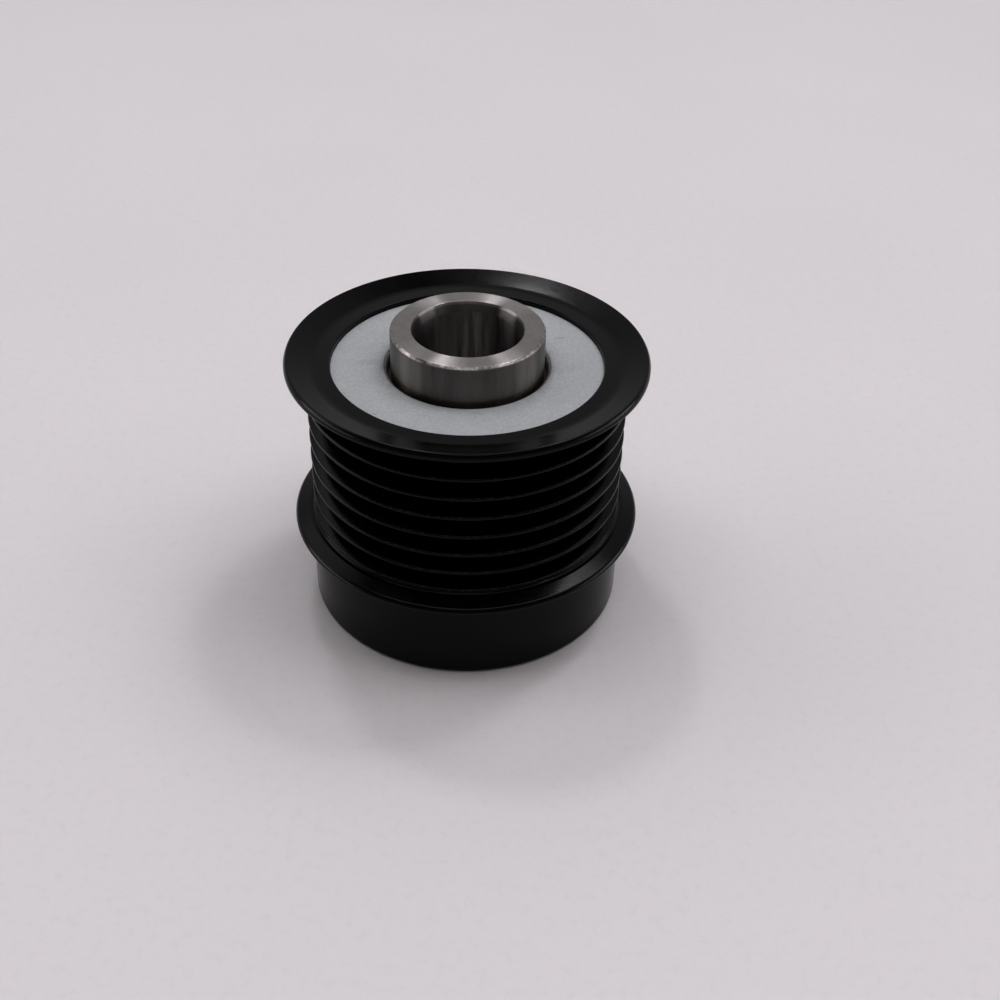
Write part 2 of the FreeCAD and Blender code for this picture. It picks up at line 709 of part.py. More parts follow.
roller_len = window_len - window_gap * 2
roller_z = window_z + window_gap
rollers = []
for index in range(int(roller_count.number)):
    roller = doc.addObject("Part::Cylinder", "clutch_roller_%d" % (index + 1))
    angle = roller_lead + plain(360 * index) / roller_count
    roller.setExpression("Radius", roller_r.text)
    roller.setExpression("Height", roller_len.text)
    roller.setExpression("Placement.Base.x", (roller_path_r * cosine(angle)).text)
    roller.setExpression("Placement.Base.y", (roller_path_r * sine(angle)).text)
    roller.setExpression("Placement.Base.z", roller_z.text)
    rollers.append(roller)
nodes.append(around_compound("clutch_rollers", rollers))

springs = new_body("clutch_springs")
springs.AllowCompound = True
spring_z = window_z + spring_side
spring_len = window_len - spring_side * 2
spring_in_x = guide_in_r + window_gap
spring_out_x = guide_out_r - guide_gap * 3
strip = new_sketch(springs, "spring_section", "XY_Plane", spring_z)
foot_y = spring_foot_y
outline(strip, [
    (spring_in_x, foot_y),
    (spring_out_x, foot_y),
    (spring_out_x, foot_y + spring_step + spring_t),
    (spring_in_x + spring_t, foot_y + spring_step + spring_t),
    (spring_in_x + spring_t, foot_y + spring_step * 2),
    (spring_out_x, foot_y + spring_step * 2),
    (spring_out_x, foot_y + spring_step * 2 + spring_t),
    (spring_in_x, foot_y + spring_step * 2 + spring_t),
    (spring_in_x, foot_y + spring_step),
    (spring_out_x - spring_t, foot_y + spring_step),
    (spring_out_x - spring_t, foot_y + spring_t),
    (spring_in_x, foot_y + spring_t),
])
leaf = springs.newObject("PartDesign::Pad", "spring_leaf")
leaf.Profile = strip
leaf.setExpression("Length", spring_len.text)
strip.Visibility = False
springs.Tip = leaf
doc.recompute()
around(springs, "spring_leaves", leaf, roller_count)
nodes.append(springs)

# Snap rings: one in the bore in front of the stack, one on the hub.
ring_z = stack_z - ring_w
bore_ring = turned("bore_snap_ring", [
    (ring_in_r, ring_z),
    (ring_groove_r - ring_seat_gap, ring_z),
    (ring_groove_r - ring_seat_gap, stack_z),
    (ring_in_r, stack_z),
], ring_turn)
for side, turn_sign in (("left", 1), ("right", -1)):
    lug_angle = (ring_turn / 2 - 4) * turn_sign
    lug = bore_ring.newObject("PartDesign::AdditiveCylinder", "lug_" + side)
    lug.setExpression("Radius", lug_r.text)
    lug.setExpression("Height", ring_w.text)
    lug.setExpression("Placement.Base.x", (lug_x * cosine(lug_angle)).text)
    lug.setExpression("Placement.Base.y", (lug_x * sine(lug_angle)).text)
    lug.setExpression("Placement.Base.z", ring_z.text)
    bore_ring.Tip = lug
    doc.recompute()
    before = bore_ring.Shape.Volume
    eye = bore_ring.newObject("PartDesign::SubtractiveCylinder", "eye_" + side)
    eye.setExpression("Radius", lug_hole_r.text)
    eye.setExpression("Height", ring_w.text)
    eye.setExpression("Placement.Base.x", (lug_x * cosine(lug_angle)).text)
    eye.setExpression("Placement.Base.y", (lug_x * sine(lug_angle)).text)
    eye.setExpression("Placement.Base.z", ring_z.text)
    bore_ring.Tip = eye
    doc.recompute()
    smaller(bore_ring, before, "eye_" + side)
nodes.append(bore_ring)

hub_ring_z = stack_z - hub_ring_w
nodes.append(turned("hub_snap_ring", [
    (hub_groove_r, hub_ring_z),
    (hub_ring_out_r, hub_ring_z),
    (hub_ring_out_r, stack_z),
    (hub_groove_r, stack_z),
], hub_ring_turn))

doc.recompute()

# Every object has to be sound before anything is written.
for item in doc.Objects:
    for state in item.State:
        if state in ("Invalid", "Error"):
            raise RuntimeError("%s is %s" % (item.Label, state))
for node in nodes:
    if node.Shape.isNull():
        raise RuntimeError(node.Label + " is empty")
    if not node.Shape.isValid():
        raise RuntimeError(node.Label + " is not valid")
    node.Shape.exportStep("parts/%s.step" % node.Label)
    print("%-28s solids %2d volume %10.2f" % (node.Label, len(node.Shape.Solids), node.Shape.Volume))
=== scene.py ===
import json
import math
import bpy
from mathutils import Matrix, Vector

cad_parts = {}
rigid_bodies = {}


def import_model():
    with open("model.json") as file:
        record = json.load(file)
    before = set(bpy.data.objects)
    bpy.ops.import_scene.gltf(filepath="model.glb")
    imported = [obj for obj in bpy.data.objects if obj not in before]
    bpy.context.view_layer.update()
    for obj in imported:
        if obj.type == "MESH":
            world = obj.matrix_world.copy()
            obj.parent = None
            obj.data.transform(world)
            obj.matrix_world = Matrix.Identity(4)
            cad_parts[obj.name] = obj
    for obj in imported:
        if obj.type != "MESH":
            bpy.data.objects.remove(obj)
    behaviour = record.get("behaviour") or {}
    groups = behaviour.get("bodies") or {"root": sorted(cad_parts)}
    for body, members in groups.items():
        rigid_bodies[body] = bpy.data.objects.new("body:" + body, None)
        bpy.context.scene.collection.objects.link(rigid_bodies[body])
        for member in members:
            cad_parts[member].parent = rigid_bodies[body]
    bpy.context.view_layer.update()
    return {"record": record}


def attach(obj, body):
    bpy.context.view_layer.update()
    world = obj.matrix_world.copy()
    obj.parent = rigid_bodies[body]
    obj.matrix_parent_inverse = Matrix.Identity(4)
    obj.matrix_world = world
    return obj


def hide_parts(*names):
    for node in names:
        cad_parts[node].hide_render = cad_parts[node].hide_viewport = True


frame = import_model()

MM = 0.001

# Driving dimensions in mm, as on the drawing of the solids. Heights count from the foot of the skirt.
SKIRT_RADIUS = 26.5
FLANGE_RADIUS = 29.2
RIB_RADIUS = 25.95
RIB_PITCH = 3.56
RIB_LAND = 0.53
GROOVES = 7
GROOVE_FLOOR = 22.924
FLOOR_HALF_WIDTH = 0.25
FIRST_GROOVE = 18.74
LOWER_RIM = 15.05
UPPER_RIM = 43.96
LIP_LEVEL = 43.82
COVER_SEAT_RADIUS = 21.95
COVER_SEAT_LEVEL = 42.0
COVER_LEVEL = 43.0
COVER_BORE = 12.95
SEAL_SEAT_RADIUS = 20.0
SEAL_SEAT_LEVEL = 39.4
SEAL_SHOULDER = 17.2
STACK_BORE = 18.5
STACK_FOOT = 6.6
STACK_TOP = 38.6
SNAP_GROOVE_FLOOR = 19.4
CAP_SEAT_RADIUS = 21.5
CAP_SEAT_LEVEL = 3.4
CATCH_GROOVE_FLOOR = 21.9
HUB_RADIUS = 12.33
HUB_SEAT_RADIUS = 12.5
HUB_SHOULDER = 13.7
HUB_SHOULDER_TOP = 40.9
HUB_FOOT = 4.5
HUB_TOP = 49.3
HUB_CHAMFER = 0.35
SHAFT_BORE = 8.5
LEAD_IN_FOOT = 47.6
THREAD_OUTSIDE = 8.0
THREAD_TOP = 31.4
THREAD_PITCH = 1.5
TOOL_RECESS_RADIUS = 9.2
TOOL_RECESS_TOP = 14.5
TOOL_TEETH = 33
BEARING_HEIGHT = 7.0

# How finely the pieces are turned: flat faces around the axis.
PULLEY_STEPS = 256
HUB_STEPS = 6 * TOOL_TEETH
RING_STEPS = 160

# Points nearer than this are one point, in mm: when a corner is looked for, and when a skin is closed.
SAME_POINT = 0.004
SAME_SKIN_POINT = 0.002

ROUNDING_SEGMENTS = 4
SHARP_DEGREES = 28


# Bench work

def clear_bench():
    """Leaves edit mode with nothing selected."""
    if bpy.context.mode != "OBJECT":
        bpy.ops.object.mode_set(mode="OBJECT")
    bpy.ops.object.select_all(action="DESELECT")
    bpy.context.view_layer.objects.active = None


def take(*pieces):
    """Selects these pieces and nothing else, the first of them as the active one."""
    clear_bench()
    for piece in pieces:
        piece.select_set(True)
    bpy.context.view_layer.objects.active = pieces[0]


def pick(piece, wanted):
    """In edit mode, leaves only the points selected whose place (mm) passes the test."""
    bpy.ops.object.mode_set(mode="OBJECT")
    spot = piece.matrix_world
    for face in piece.data.polygons:
        face.select = False
    for edge in piece.data.edges:
        edge.select = False
    for point in piece.data.vertices:
        point.select = bool(wanted((spot @ point.co) / MM))
    bpy.ops.object.mode_set(mode="EDIT")
    bpy.ops.mesh.select_mode(type="VERT")


def on_corners(corners):
    """A test for pick, true for a point that lies on one of these corners."""
    def test(place):
        return any(math.hypot(place.x - corner[0], place.z - corner[1]) < SAME_POINT for corner in corners)
    return test


def draw_section(name, corners):
    """Draws a half section point by point in the XZ plane. A corner is (radius, height), and has its
    rounding as a third number where it isn't sharp."""
    clear_bench()
    radius, height = corners[0][:2]
    bpy.ops.mesh.primitive_plane_add(size=MM, location=(radius * MM, 0, height * MM))
    piece = bpy.context.active_object
    piece.name = name
    bpy.ops.object.mode_set(mode="EDIT")
    bpy.ops.mesh.select_mode(type="VERT")
    bpy.ops.mesh.select_all(action="SELECT")
    bpy.ops.mesh.merge(type="CENTER")
    for before, after in zip(corners, corners[1:]):
        step = ((after[0] - before[0]) * MM, 0, (after[1] - before[1]) * MM)
        bpy.ops.mesh.extrude_region_move(TRANSFORM_OT_translate={"value": step})
    pick(piece, on_corners([corners[0], corners[-1]]))
    bpy.ops.mesh.edge_face_add()
    rounded = [corner for corner in corners if len(corner) > 2]
    for rounding in sorted({corner[2] for corner in rounded}):
        pick(piece, on_corners([corner for corner in rounded if corner[2] == rounding]))
        bpy.ops.mesh.bevel(offset_type="OFFSET", offset=rounding * MM, segments=ROUNDING_SEGMENTS,
                           affect="VERTICES", clamp_overlap=False)
    return piece


def settle(piece):
    """Puts the place of a piece into its mesh."""
    take(piece)
    bpy.ops.object.transform_apply(location=True, rotation=True, scale=True)


def close_skin(piece):
    """Joins points that lie together and turns all faces outwards."""
    bpy.ops.mesh.select_all(action="SELECT")
    bpy.ops.mesh.remove_doubles(threshold=SAME_SKIN_POINT * MM)
    bpy.ops.mesh.normals_make_consistent(inside=False)
    bpy.ops.object.mode_set(mode="OBJECT")
    settle(piece)


def turn(name, corners, steps):
    """Draws a half section and spins it around the axis."""
    piece = draw_section(name, corners)
    bpy.ops.mesh.select_all(action="SELECT")
    bpy.ops.mesh.spin(steps=steps, angle=math.tau, center=(0, 0, 0), axis=(0, 0, 1),
                      use_auto_merge=True)
    close_skin(piece)
    return piece


def polish(piece):
    """Smooth shading that keeps flats flat and edges crisp."""
    take(piece)
    bpy.ops.object.shade_smooth_by_angle(angle=math.radians(SHARP_DEGREES))
    bpy.ops.object.modifier_add(type="WEIGHTED_NORMAL")
    weighting = piece.modifiers[-1]
    weighting.mode = "FACE_AREA"
    weighting.keep_sharp = True
    bpy.ops.object.modifier_apply(modifier=weighting.name)


# Node work

def feed(tree, socket, value):
    """Gives a socket a number, or the output of another node."""
    if isinstance(value, bpy.types.NodeSocket):
        tree.links.new(value, socket)
    else:
        socket.default_value = value


def sums(tree, operation, *values):
    """One step of arithmetic on numbers or outputs."""
    node = tree.nodes.new("ShaderNodeMath")
    node.operation = operation
    for socket, value in zip(node.inputs, values):
        feed(tree, socket, value)
    return node.outputs[0]


def ramp(tree, value, low, high, to_low=0.0, to_high=1.0):
    """A smooth step of the value between low and high."""
    node = tree.nodes.new("ShaderNodeMapRange")
    node.interpolation_type = "SMOOTHSTEP"
    for socket, number in zip(node.inputs, (value, low, high, to_low, to_high)):
        feed(tree, socket, number)
    return node.outputs[0]


def wander(tree, pattern, low=0.0, high=1.0):
    """A number that goes from low to high with the middle part of a noise."""
    return ramp(tree, pattern, 0.3, 0.7, low, high)


def squares(tree, first, second):
    """The sum of two squares."""
    return sums(tree, "ADD", sums(tree, "MULTIPLY", first, first), sums(tree, "MULTIPLY", second, second))


def place_mm(tree):
    """Object coordinates in mm."""
    spot = tree.nodes.new("ShaderNodeTexCoord")
    scaled = tree.nodes.new("ShaderNodeVectorMath")
    scaled.operation = "SCALE"
    tree.links.new(spot.outputs["Object"], scaled.inputs[0])
    scaled.inputs["Scale"].default_value = 1 / MM
    return scaled.outputs[0]


def axes(tree, vector):
    """The three numbers of a vector."""
    split = tree.nodes.new("ShaderNodeSeparateXYZ")
    tree.links.new(vector, split.inputs[0])
    return split.outputs


def vector_of(tree, *values):
    """A vector from two or three numbers."""
    joined = tree.nodes.new("ShaderNodeCombineXYZ")
    for socket, value in zip(joined.inputs, values):
        feed(tree, socket, value)
    return joined.outputs[0]


def speckle(tree, vector, scale, detail=2.0, rough=0.5):
    """Noise with so many spots to a unit of the vector."""
    node = tree.nodes.new("ShaderNodeTexNoise")
    tree.links.new(vector, node.inputs["Vector"])
    feed(tree, node.inputs["Scale"], scale)
    node.inputs["Detail"].default_value = detail
    node.inputs["Roughness"].default_value = rough
    return node.outputs["Fac"]


def blend_colours(tree, share, low, high):
    """Two colours, each a tuple or an output, mixed by a share."""
    node = tree.nodes.new("ShaderNodeMix")
    node.data_type = "RGBA"
    feed(tree, node.inputs[0], share)
    for socket, value in ((node.inputs[6], low), (node.inputs[7], high)):
        if isinstance(value, bpy.types.NodeSocket):
            tree.links.new(value, socket)
        else:
            socket.default_value = (*value, 1)
    return node.outputs[2]


def relief(tree, height, depth, strength, under=None):
    """A bump, laid over another one if that is given."""
    node = tree.nodes.new("ShaderNodeBump")
    node.inputs["Strength"].default_value = strength
    node.inputs["Distance"].default_value = depth * MM
    tree.links.new(height, node.inputs["Height"])
    if under is not None:
        tree.links.new(under, node.inputs["Normal"])
    return node.outputs["Normal"]


# Shared effects, each a node group with named sockets

def start_group(name, inputs, outputs):
    """A new node group: its tree, and the sockets that it is given and that it has to fill."""
    tree = bpy.data.node_groups.new(name, "ShaderNodeTree")
    for label, value in inputs:
        socket = tree.interface.new_socket(name=label, in_out="INPUT", socket_type="NodeSocketFloat")
        socket.default_value = value
        socket.min_value = -1000
        socket.max_value = 1000
    for label in outputs:
        tree.interface.new_socket(name=label, in_out="OUTPUT", socket_type="NodeSocketFloat")
    entry = tree.nodes.new("NodeGroupInput")
    leave = tree.nodes.new("NodeGroupOutput")
    return tree, entry.outputs, leave.inputs


def make_lathe_place():
    """Radius, height and turn around the axis of a turned piece, in mm and radians."""
    tree, _, out = start_group("lathe place", [], ["Radius", "Height", "Turn"])
    x, y, z = axes(tree, place_mm(tree))
    tree.links.new(sums(tree, "SQRT", squares(tree, x, y)), out["Radius"])
    tree.links.new(z, out["Height"])
    tree.links.new(sums(tree, "ARCTAN2", y, x), out["Turn"])
    return tree


def make_fine_grain():
    """Grain of a coating or a blasted sheet: a fine and a coarse noise together."""
    sizes = [("Grain mm", 0.15), ("Swell mm", 1.2), ("Swell share", 0.4)]
    tree, given, out = start_group("fine grain", sizes, ["Height", "Coarse"])
    spot = place_mm(tree)
    fine = speckle(tree, spot, sums(tree, "DIVIDE", 1.0, given["Grain mm"]), detail=2.0)
    coarse = speckle(tree, spot, sums(tree, "DIVIDE", 1.0, given["Swell mm"]), detail=3.0)
    swell = sums(tree, "MULTIPLY", coarse, given["Swell share"])
    tree.links.new(sums(tree, "ADD", fine, swell), out["Height"])
    tree.links.new(coarse, out["Coarse"])
    return tree


def make_tool_marks():
    """Marks left by a turning tool: rings that repeat along the feed, never quite even."""
    sizes = [("Feed mm", 0.12), ("Wander", 0.35)]
    tree, given, out = start_group("tool marks", sizes, ["Rings", "Patch"])
    height_share = 0.93
    patches_per_mm = 0.45
    x, y, z = axes(tree, place_mm(tree))
    radius = sums(tree, "SQRT", squares(tree, x, y))
    along = sums(tree, "ADD", radius, sums(tree, "MULTIPLY", z, height_share))
    feeds = sums(tree, "DIVIDE", along, given["Feed mm"])
    drift = sums(tree, "MULTIPLY", sums(tree, "ARCTAN2", y, x), given["Wander"])
    rings = speckle(tree, vector_of(tree, feeds, drift), 1.0, detail=3.0, rough=0.6)
    patch = speckle(tree, place_mm(tree), patches_per_mm, detail=3.0, rough=0.6)
    tree.links.new(rings, out["Rings"])
    tree.links.new(patch, out["Patch"])
    return tree


def make_broken_edge_band():
    """Mask along a turned edge at a radius and height, broken up as rubbed edges are. It marks rubbed edges,
    painted highlights and darker rings.
    """
    sizes = [("Radius", 0.0), ("Height", 0.0), ("Edge radius", 25.0), ("Edge height", 40.0),
             ("Width mm", 0.1), ("Breaks", 0.5)]
    tree, given, out = start_group("edge wear", sizes, ["Mask"])
    breaks_per_mm = 1.9
    softness = 0.08
    across = sums(tree, "SUBTRACT", given["Radius"], given["Edge radius"])
    up = sums(tree, "SUBTRACT", given["Height"], given["Edge height"])
    away = sums(tree, "SQRT", squares(tree, across, up))
    near = ramp(tree, away, 0.0, given["Width mm"], 1.0, 0.0)
    broken = speckle(tree, place_mm(tree), breaks_per_mm, detail=4.0, rough=0.65)
    whole = ramp(tree, broken, sums(tree, "SUBTRACT", given["Breaks"], softness),
                 sums(tree, "ADD", given["Breaks"], softness))
    tree.links.new(sums(tree, "MULTIPLY", near, whole), out["Mask"])
    return tree


def make_wipe_streaks():
    """Streaks that run along the axis of a wiped, oiled cylinder."""
    tree, given, out = start_group("wipe streaks", [("Turn", 0.0), ("Height", 0.0)], ["Streak"])
    streaks_around = 7.5
    streaks_per_mm = 0.06
    side = sums(tree, "MULTIPLY", sums(tree, "COSINE", given["Turn"]), streaks_around)
    front = sums(tree, "MULTIPLY", sums(tree, "SINE", given["Turn"]), streaks_around)
    up = sums(tree, "MULTIPLY", given["Height"], streaks_per_mm)
    streak = speckle(tree, vector_of(tree, side, front, up), 1.0, detail=4.0, rough=0.6)
    tree.links.new(streak, out["Streak"])
    return tree


def make_dust():
    """Sparse small specks: the middles of scattered cells."""
    sizes = [("Spacing mm", 1.6), ("Speck mm", 0.06), ("Share", 0.3)]
    tree, given, out = start_group("dust", sizes, ["Mask"])
    cells = tree.nodes.new("ShaderNodeTexVoronoi")
    tree.links.new(place_mm(tree), cells.inputs["Vector"])
    tree.links.new(sums(tree, "DIVIDE", 1.0, given["Spacing mm"]), cells.inputs["Scale"])
    size = sums(tree, "DIVIDE", given["Speck mm"], given["Spacing mm"])
    speck = ramp(tree, cells.outputs["Distance"], sums(tree, "MULTIPLY", size, 0.5), size, 1.0, 0.0)
    chosen = sums(tree, "LESS_THAN", axes(tree, cells.outputs["Color"])[0], given["Share"])
    tree.links.new(sums(tree, "MULTIPLY", speck, chosen), out["Mask"])
    return tree


def make_rub_mark():
    """A soft rubbed patch at a place on a flat face, long and narrow, its edge broken up."""
    sizes = [("East", 0.0), ("North", 0.0), ("Along mm", 2.0), ("Across mm", 0.5), ("Lean", 0.0)]
    tree, given, out = start_group("rub mark", sizes, ["Mask"])
    breaks_per_mm = 2.2
    spot = place_mm(tree)
    x, y, _ = axes(tree, spot)
    x = sums(tree, "SUBTRACT", x, given["East"])
    y = sums(tree, "SUBTRACT", y, given["North"])
    cosine = sums(tree, "COSINE", given["Lean"])
    sine = sums(tree, "SINE", given["Lean"])
    along = sums(tree, "ADD", sums(tree, "MULTIPLY", x, cosine), sums(tree, "MULTIPLY", y, sine))
    across = sums(tree, "SUBTRACT", sums(tree, "MULTIPLY", y, cosine), sums(tree, "MULTIPLY", x, sine))
    away = squares(tree, sums(tree, "DIVIDE", along, given["Along mm"]),
                   sums(tree, "DIVIDE", across, given["Across mm"]))
    inside = ramp(tree, away, 0.0, 1.0, 1.0, 0.0)
    worn = ramp(tree, speckle(tree, spot, breaks_per_mm, detail=4.0, rough=0.65), 0.35, 0.65, 0.25, 1.0)
    tree.links.new(sums(tree, "MULTIPLY", inside, worn), out["Mask"])
    return tree


LATHE_PLACE = make_lathe_place()
FINE_GRAIN = make_fine_grain()
TOOL_MARKS = make_tool_marks()
BROKEN_EDGE_BAND = make_broken_edge_band()
WIPE_STREAKS = make_wipe_streaks()
DUST = make_dust()
RUB_MARK = make_rub_mark()


# Materials. Colours are linear red, green and blue. The depth of a relief and all spacings are in mm.

def start_material(name, **fixed):
    """A new material with these numbers on its shader, its tree and the shader's sockets."""
    material = bpy.data.materials.new(name)
    material.use_nodes = True
    tree = material.node_tree
    shader = tree.nodes["Principled BSDF"]
    for label, value in fixed.items():
        shader.inputs[label.replace("_", " ")].default_value = value
    return material, tree, shader.inputs


def effect(tree, group, **given):
    """One use of a shared effect, with its sockets given by name."""
    node = tree.nodes.new("ShaderNodeGroup")
    node.node_tree = group
    for label, value in given.items():
        feed(tree, node.inputs[label.replace("_", " ")], value)
    return node.outputs


def join_up(tree, shader, colour, roughness, normal):
    """Joins the colour, the roughness and the relief of a finish to its shader."""
    tree.links.new(colour, shader["Base Color"])
    tree.links.new(roughness, shader["Roughness"])
    tree.links.new(normal, shader["Normal"])


def radial_sheen(tree, shader, amount):
    """Stretches the gloss across the turning marks, which run around the axis."""
    quarter_turn = 0.25
    shader["Anisotropic"].default_value = amount
    shader["Anisotropic Rotation"].default_value = quarter_turn
    tangent = tree.nodes.new("ShaderNodeTangent")
    tangent.direction_type = "RADIAL"
    tangent.axis = "Z"
    tree.links.new(tangent.outputs[0], shader["Tangent"])


def make_black_coat():
    """Black coat with a fine orange peel, a little dusty, grey in broken dashes along the rib crests: partly
    rubbed paint, partly a painted highlight standing in for glints.
    """
    material, tree, shader = start_material("satin black coat", IOR=1.5, Specular_IOR_Level=0.19)
    black, less_black = (0.0007, 0.0007, 0.0008), (0.0014, 0.0014, 0.0015)
    rubbed = (0.17, 0.17, 0.175)
    dusty = (0.05, 0.05, 0.05)
    spot = effect(tree, LATHE_PLACE)
    grain = effect(tree, FINE_GRAIN, Grain_mm=0.10, Swell_mm=0.9, Swell_share=0.2)
    dust = effect(tree, DUST, Spacing_mm=2.6, Speck_mm=0.07, Share=0.12)["Mask"]
    above_groove = sums(tree, "SUBTRACT", spot["Height"], FIRST_GROOVE)
    folded = sums(tree, "PINGPONG", above_groove, RIB_PITCH / 2)
    # Rib crest edges: broken grey dashes, partly wear and partly a painted highlight for the glints that the
    # crests catch.
    crest = effect(tree, BROKEN_EDGE_BAND, Radius=spot["Radius"], Height=folded, Edge_radius=RIB_RADIUS - 0.03,
                   Edge_height=(RIB_PITCH - RIB_LAND) / 2, Width_mm=0.10, Breaks=0.57)["Mask"]
    colour = blend_colours(tree, grain["Coarse"], black, less_black)
    colour = blend_colours(tree, sums(tree, "MULTIPLY", crest, 0.6), colour, rubbed)
    colour = blend_colours(tree, sums(tree, "MULTIPLY", dust, 0.5), colour, dusty)
    peel = effect(tree, FINE_GRAIN, Grain_mm=0.22, Swell_mm=0.7, Swell_share=0.12)
    normal = relief(tree, peel["Height"], depth=0.015, strength=0.9)
    normal = relief(tree, grain["Height"], depth=0.006, strength=0.8, under=normal)
    join_up(tree, shader, colour, wander(tree, grain["Coarse"], 0.13, 0.18), normal)
    return material


def make_hub_steel():
    """Turned face, wiped wall, drawn bore with its lead-in, a face edge with nicks in bright broken dashes
    that are also a painted highlight for glints, and a greasy foot.
    """
    material, tree, shader = start_material("turned hub steel", Metallic=1.0)
    face_low, face_high, face_patch = (0.285, 0.264, 0.262), (0.405, 0.378, 0.374), (0.27, 0.25, 0.245)
    wall_low, wall_high = (0.192, 0.183, 0.175), (0.252, 0.239, 0.224)
    bore_low, bore_high, lead_in = (0.17, 0.158, 0.155), (0.40, 0.375, 0.37), (0.165, 0.155, 0.150)
    nick_and_glint_low, nick_and_glint_high = (0.26, 0.242, 0.238), (0.48, 0.455, 0.445)
    grease = (0.105, 0.085, 0.068)
    spot = effect(tree, LATHE_PLACE)
    marks = effect(tree, TOOL_MARKS, Feed_mm=0.16, Wander=1.1)
    grain = effect(tree, FINE_GRAIN, Grain_mm=0.14, Swell_mm=1.4, Swell_share=0.3)
    streaks = effect(tree, WIPE_STREAKS, Turn=spot["Turn"], Height=spot["Height"])["Streak"]
    below_face = ramp(tree, spot["Height"], HUB_TOP - 0.6, HUB_TOP - 0.3, 1.0, 0.0)
    outside = ramp(tree, spot["Radius"], 11.0, 11.6)
    face = blend_colours(tree, ramp(tree, grain["Height"], 0.35, 0.9), face_low, face_high)
    face = blend_colours(tree, ramp(tree, marks["Patch"], 0.42, 0.72, 0.0, 0.3), face, face_patch)
    wall = blend_colours(tree, wander(tree, streaks), wall_low, wall_high)
    bore = blend_colours(tree, wander(tree, streaks), bore_low, bore_high)
    in_lead_in = ramp(tree, spot["Height"], LEAD_IN_FOOT - 0.15, LEAD_IN_FOOT + 0.15)
    bore = blend_colours(tree, in_lead_in, bore, lead_in)
    colour = blend_colours(tree, below_face, face, blend_colours(tree, outside, bore, wall))
    # The face edge: bright metal in broken dashes, partly nicks and partly a painted highlight for the glints
    # along the chamfer.
    nicked_and_glint_edge = sums(tree, "MULTIPLY", ramp(tree, spot["Radius"], HUB_RADIUS - 0.40, HUB_RADIUS - 0.31),
                  ramp(tree, spot["Height"], HUB_TOP - 0.42, HUB_TOP - 0.34))
    nick_and_glint_breaks = speckle(tree, place_mm(tree), 1.6, detail=4.0, rough=0.65)
    colour = blend_colours(tree, nicked_and_glint_edge, colour,
                           blend_colours(tree, ramp(tree, nick_and_glint_breaks, 0.46, 0.62), nick_and_glint_low, nick_and_glint_high))
    foot = sums(tree, "MULTIPLY", outside,
                ramp(tree, spot["Height"], COVER_LEVEL - 0.1, COVER_LEVEL + 0.7, 1.0, 0.0))
    smear = sums(tree, "MULTIPLY", foot, ramp(tree, marks["Patch"], 0.3, 0.6, 0.6, 1.0))
    colour = blend_colours(tree, smear, colour, grease)
    normal = relief(tree, marks["Rings"], depth=0.004, strength=0.5)
    normal = relief(tree, grain["Height"], depth=0.008, strength=0.6, under=normal)
    join_up(tree, shader, colour, ramp(tree, marks["Rings"], 0.25, 0.75, 0.28, 0.325), normal)
    radial_sheen(tree, shader, 1.0)
    return material


# Rubbed places on the cover: east, north, half length, half width (mm), lean (radians), depth of tone.
COVER_RUBS = [
    (-15.7, -0.1, 3.20, 1.30, 0.1, 0.22),
    (15.7, -1.7, 3.00, 1.60, 0.6, 0.16),
    (15.5, 8.3, 1.30, 0.16, 0.3, 0.70),
    (-14.0, -15.3, 0.45, 0.14, -0.5, 0.95),
]


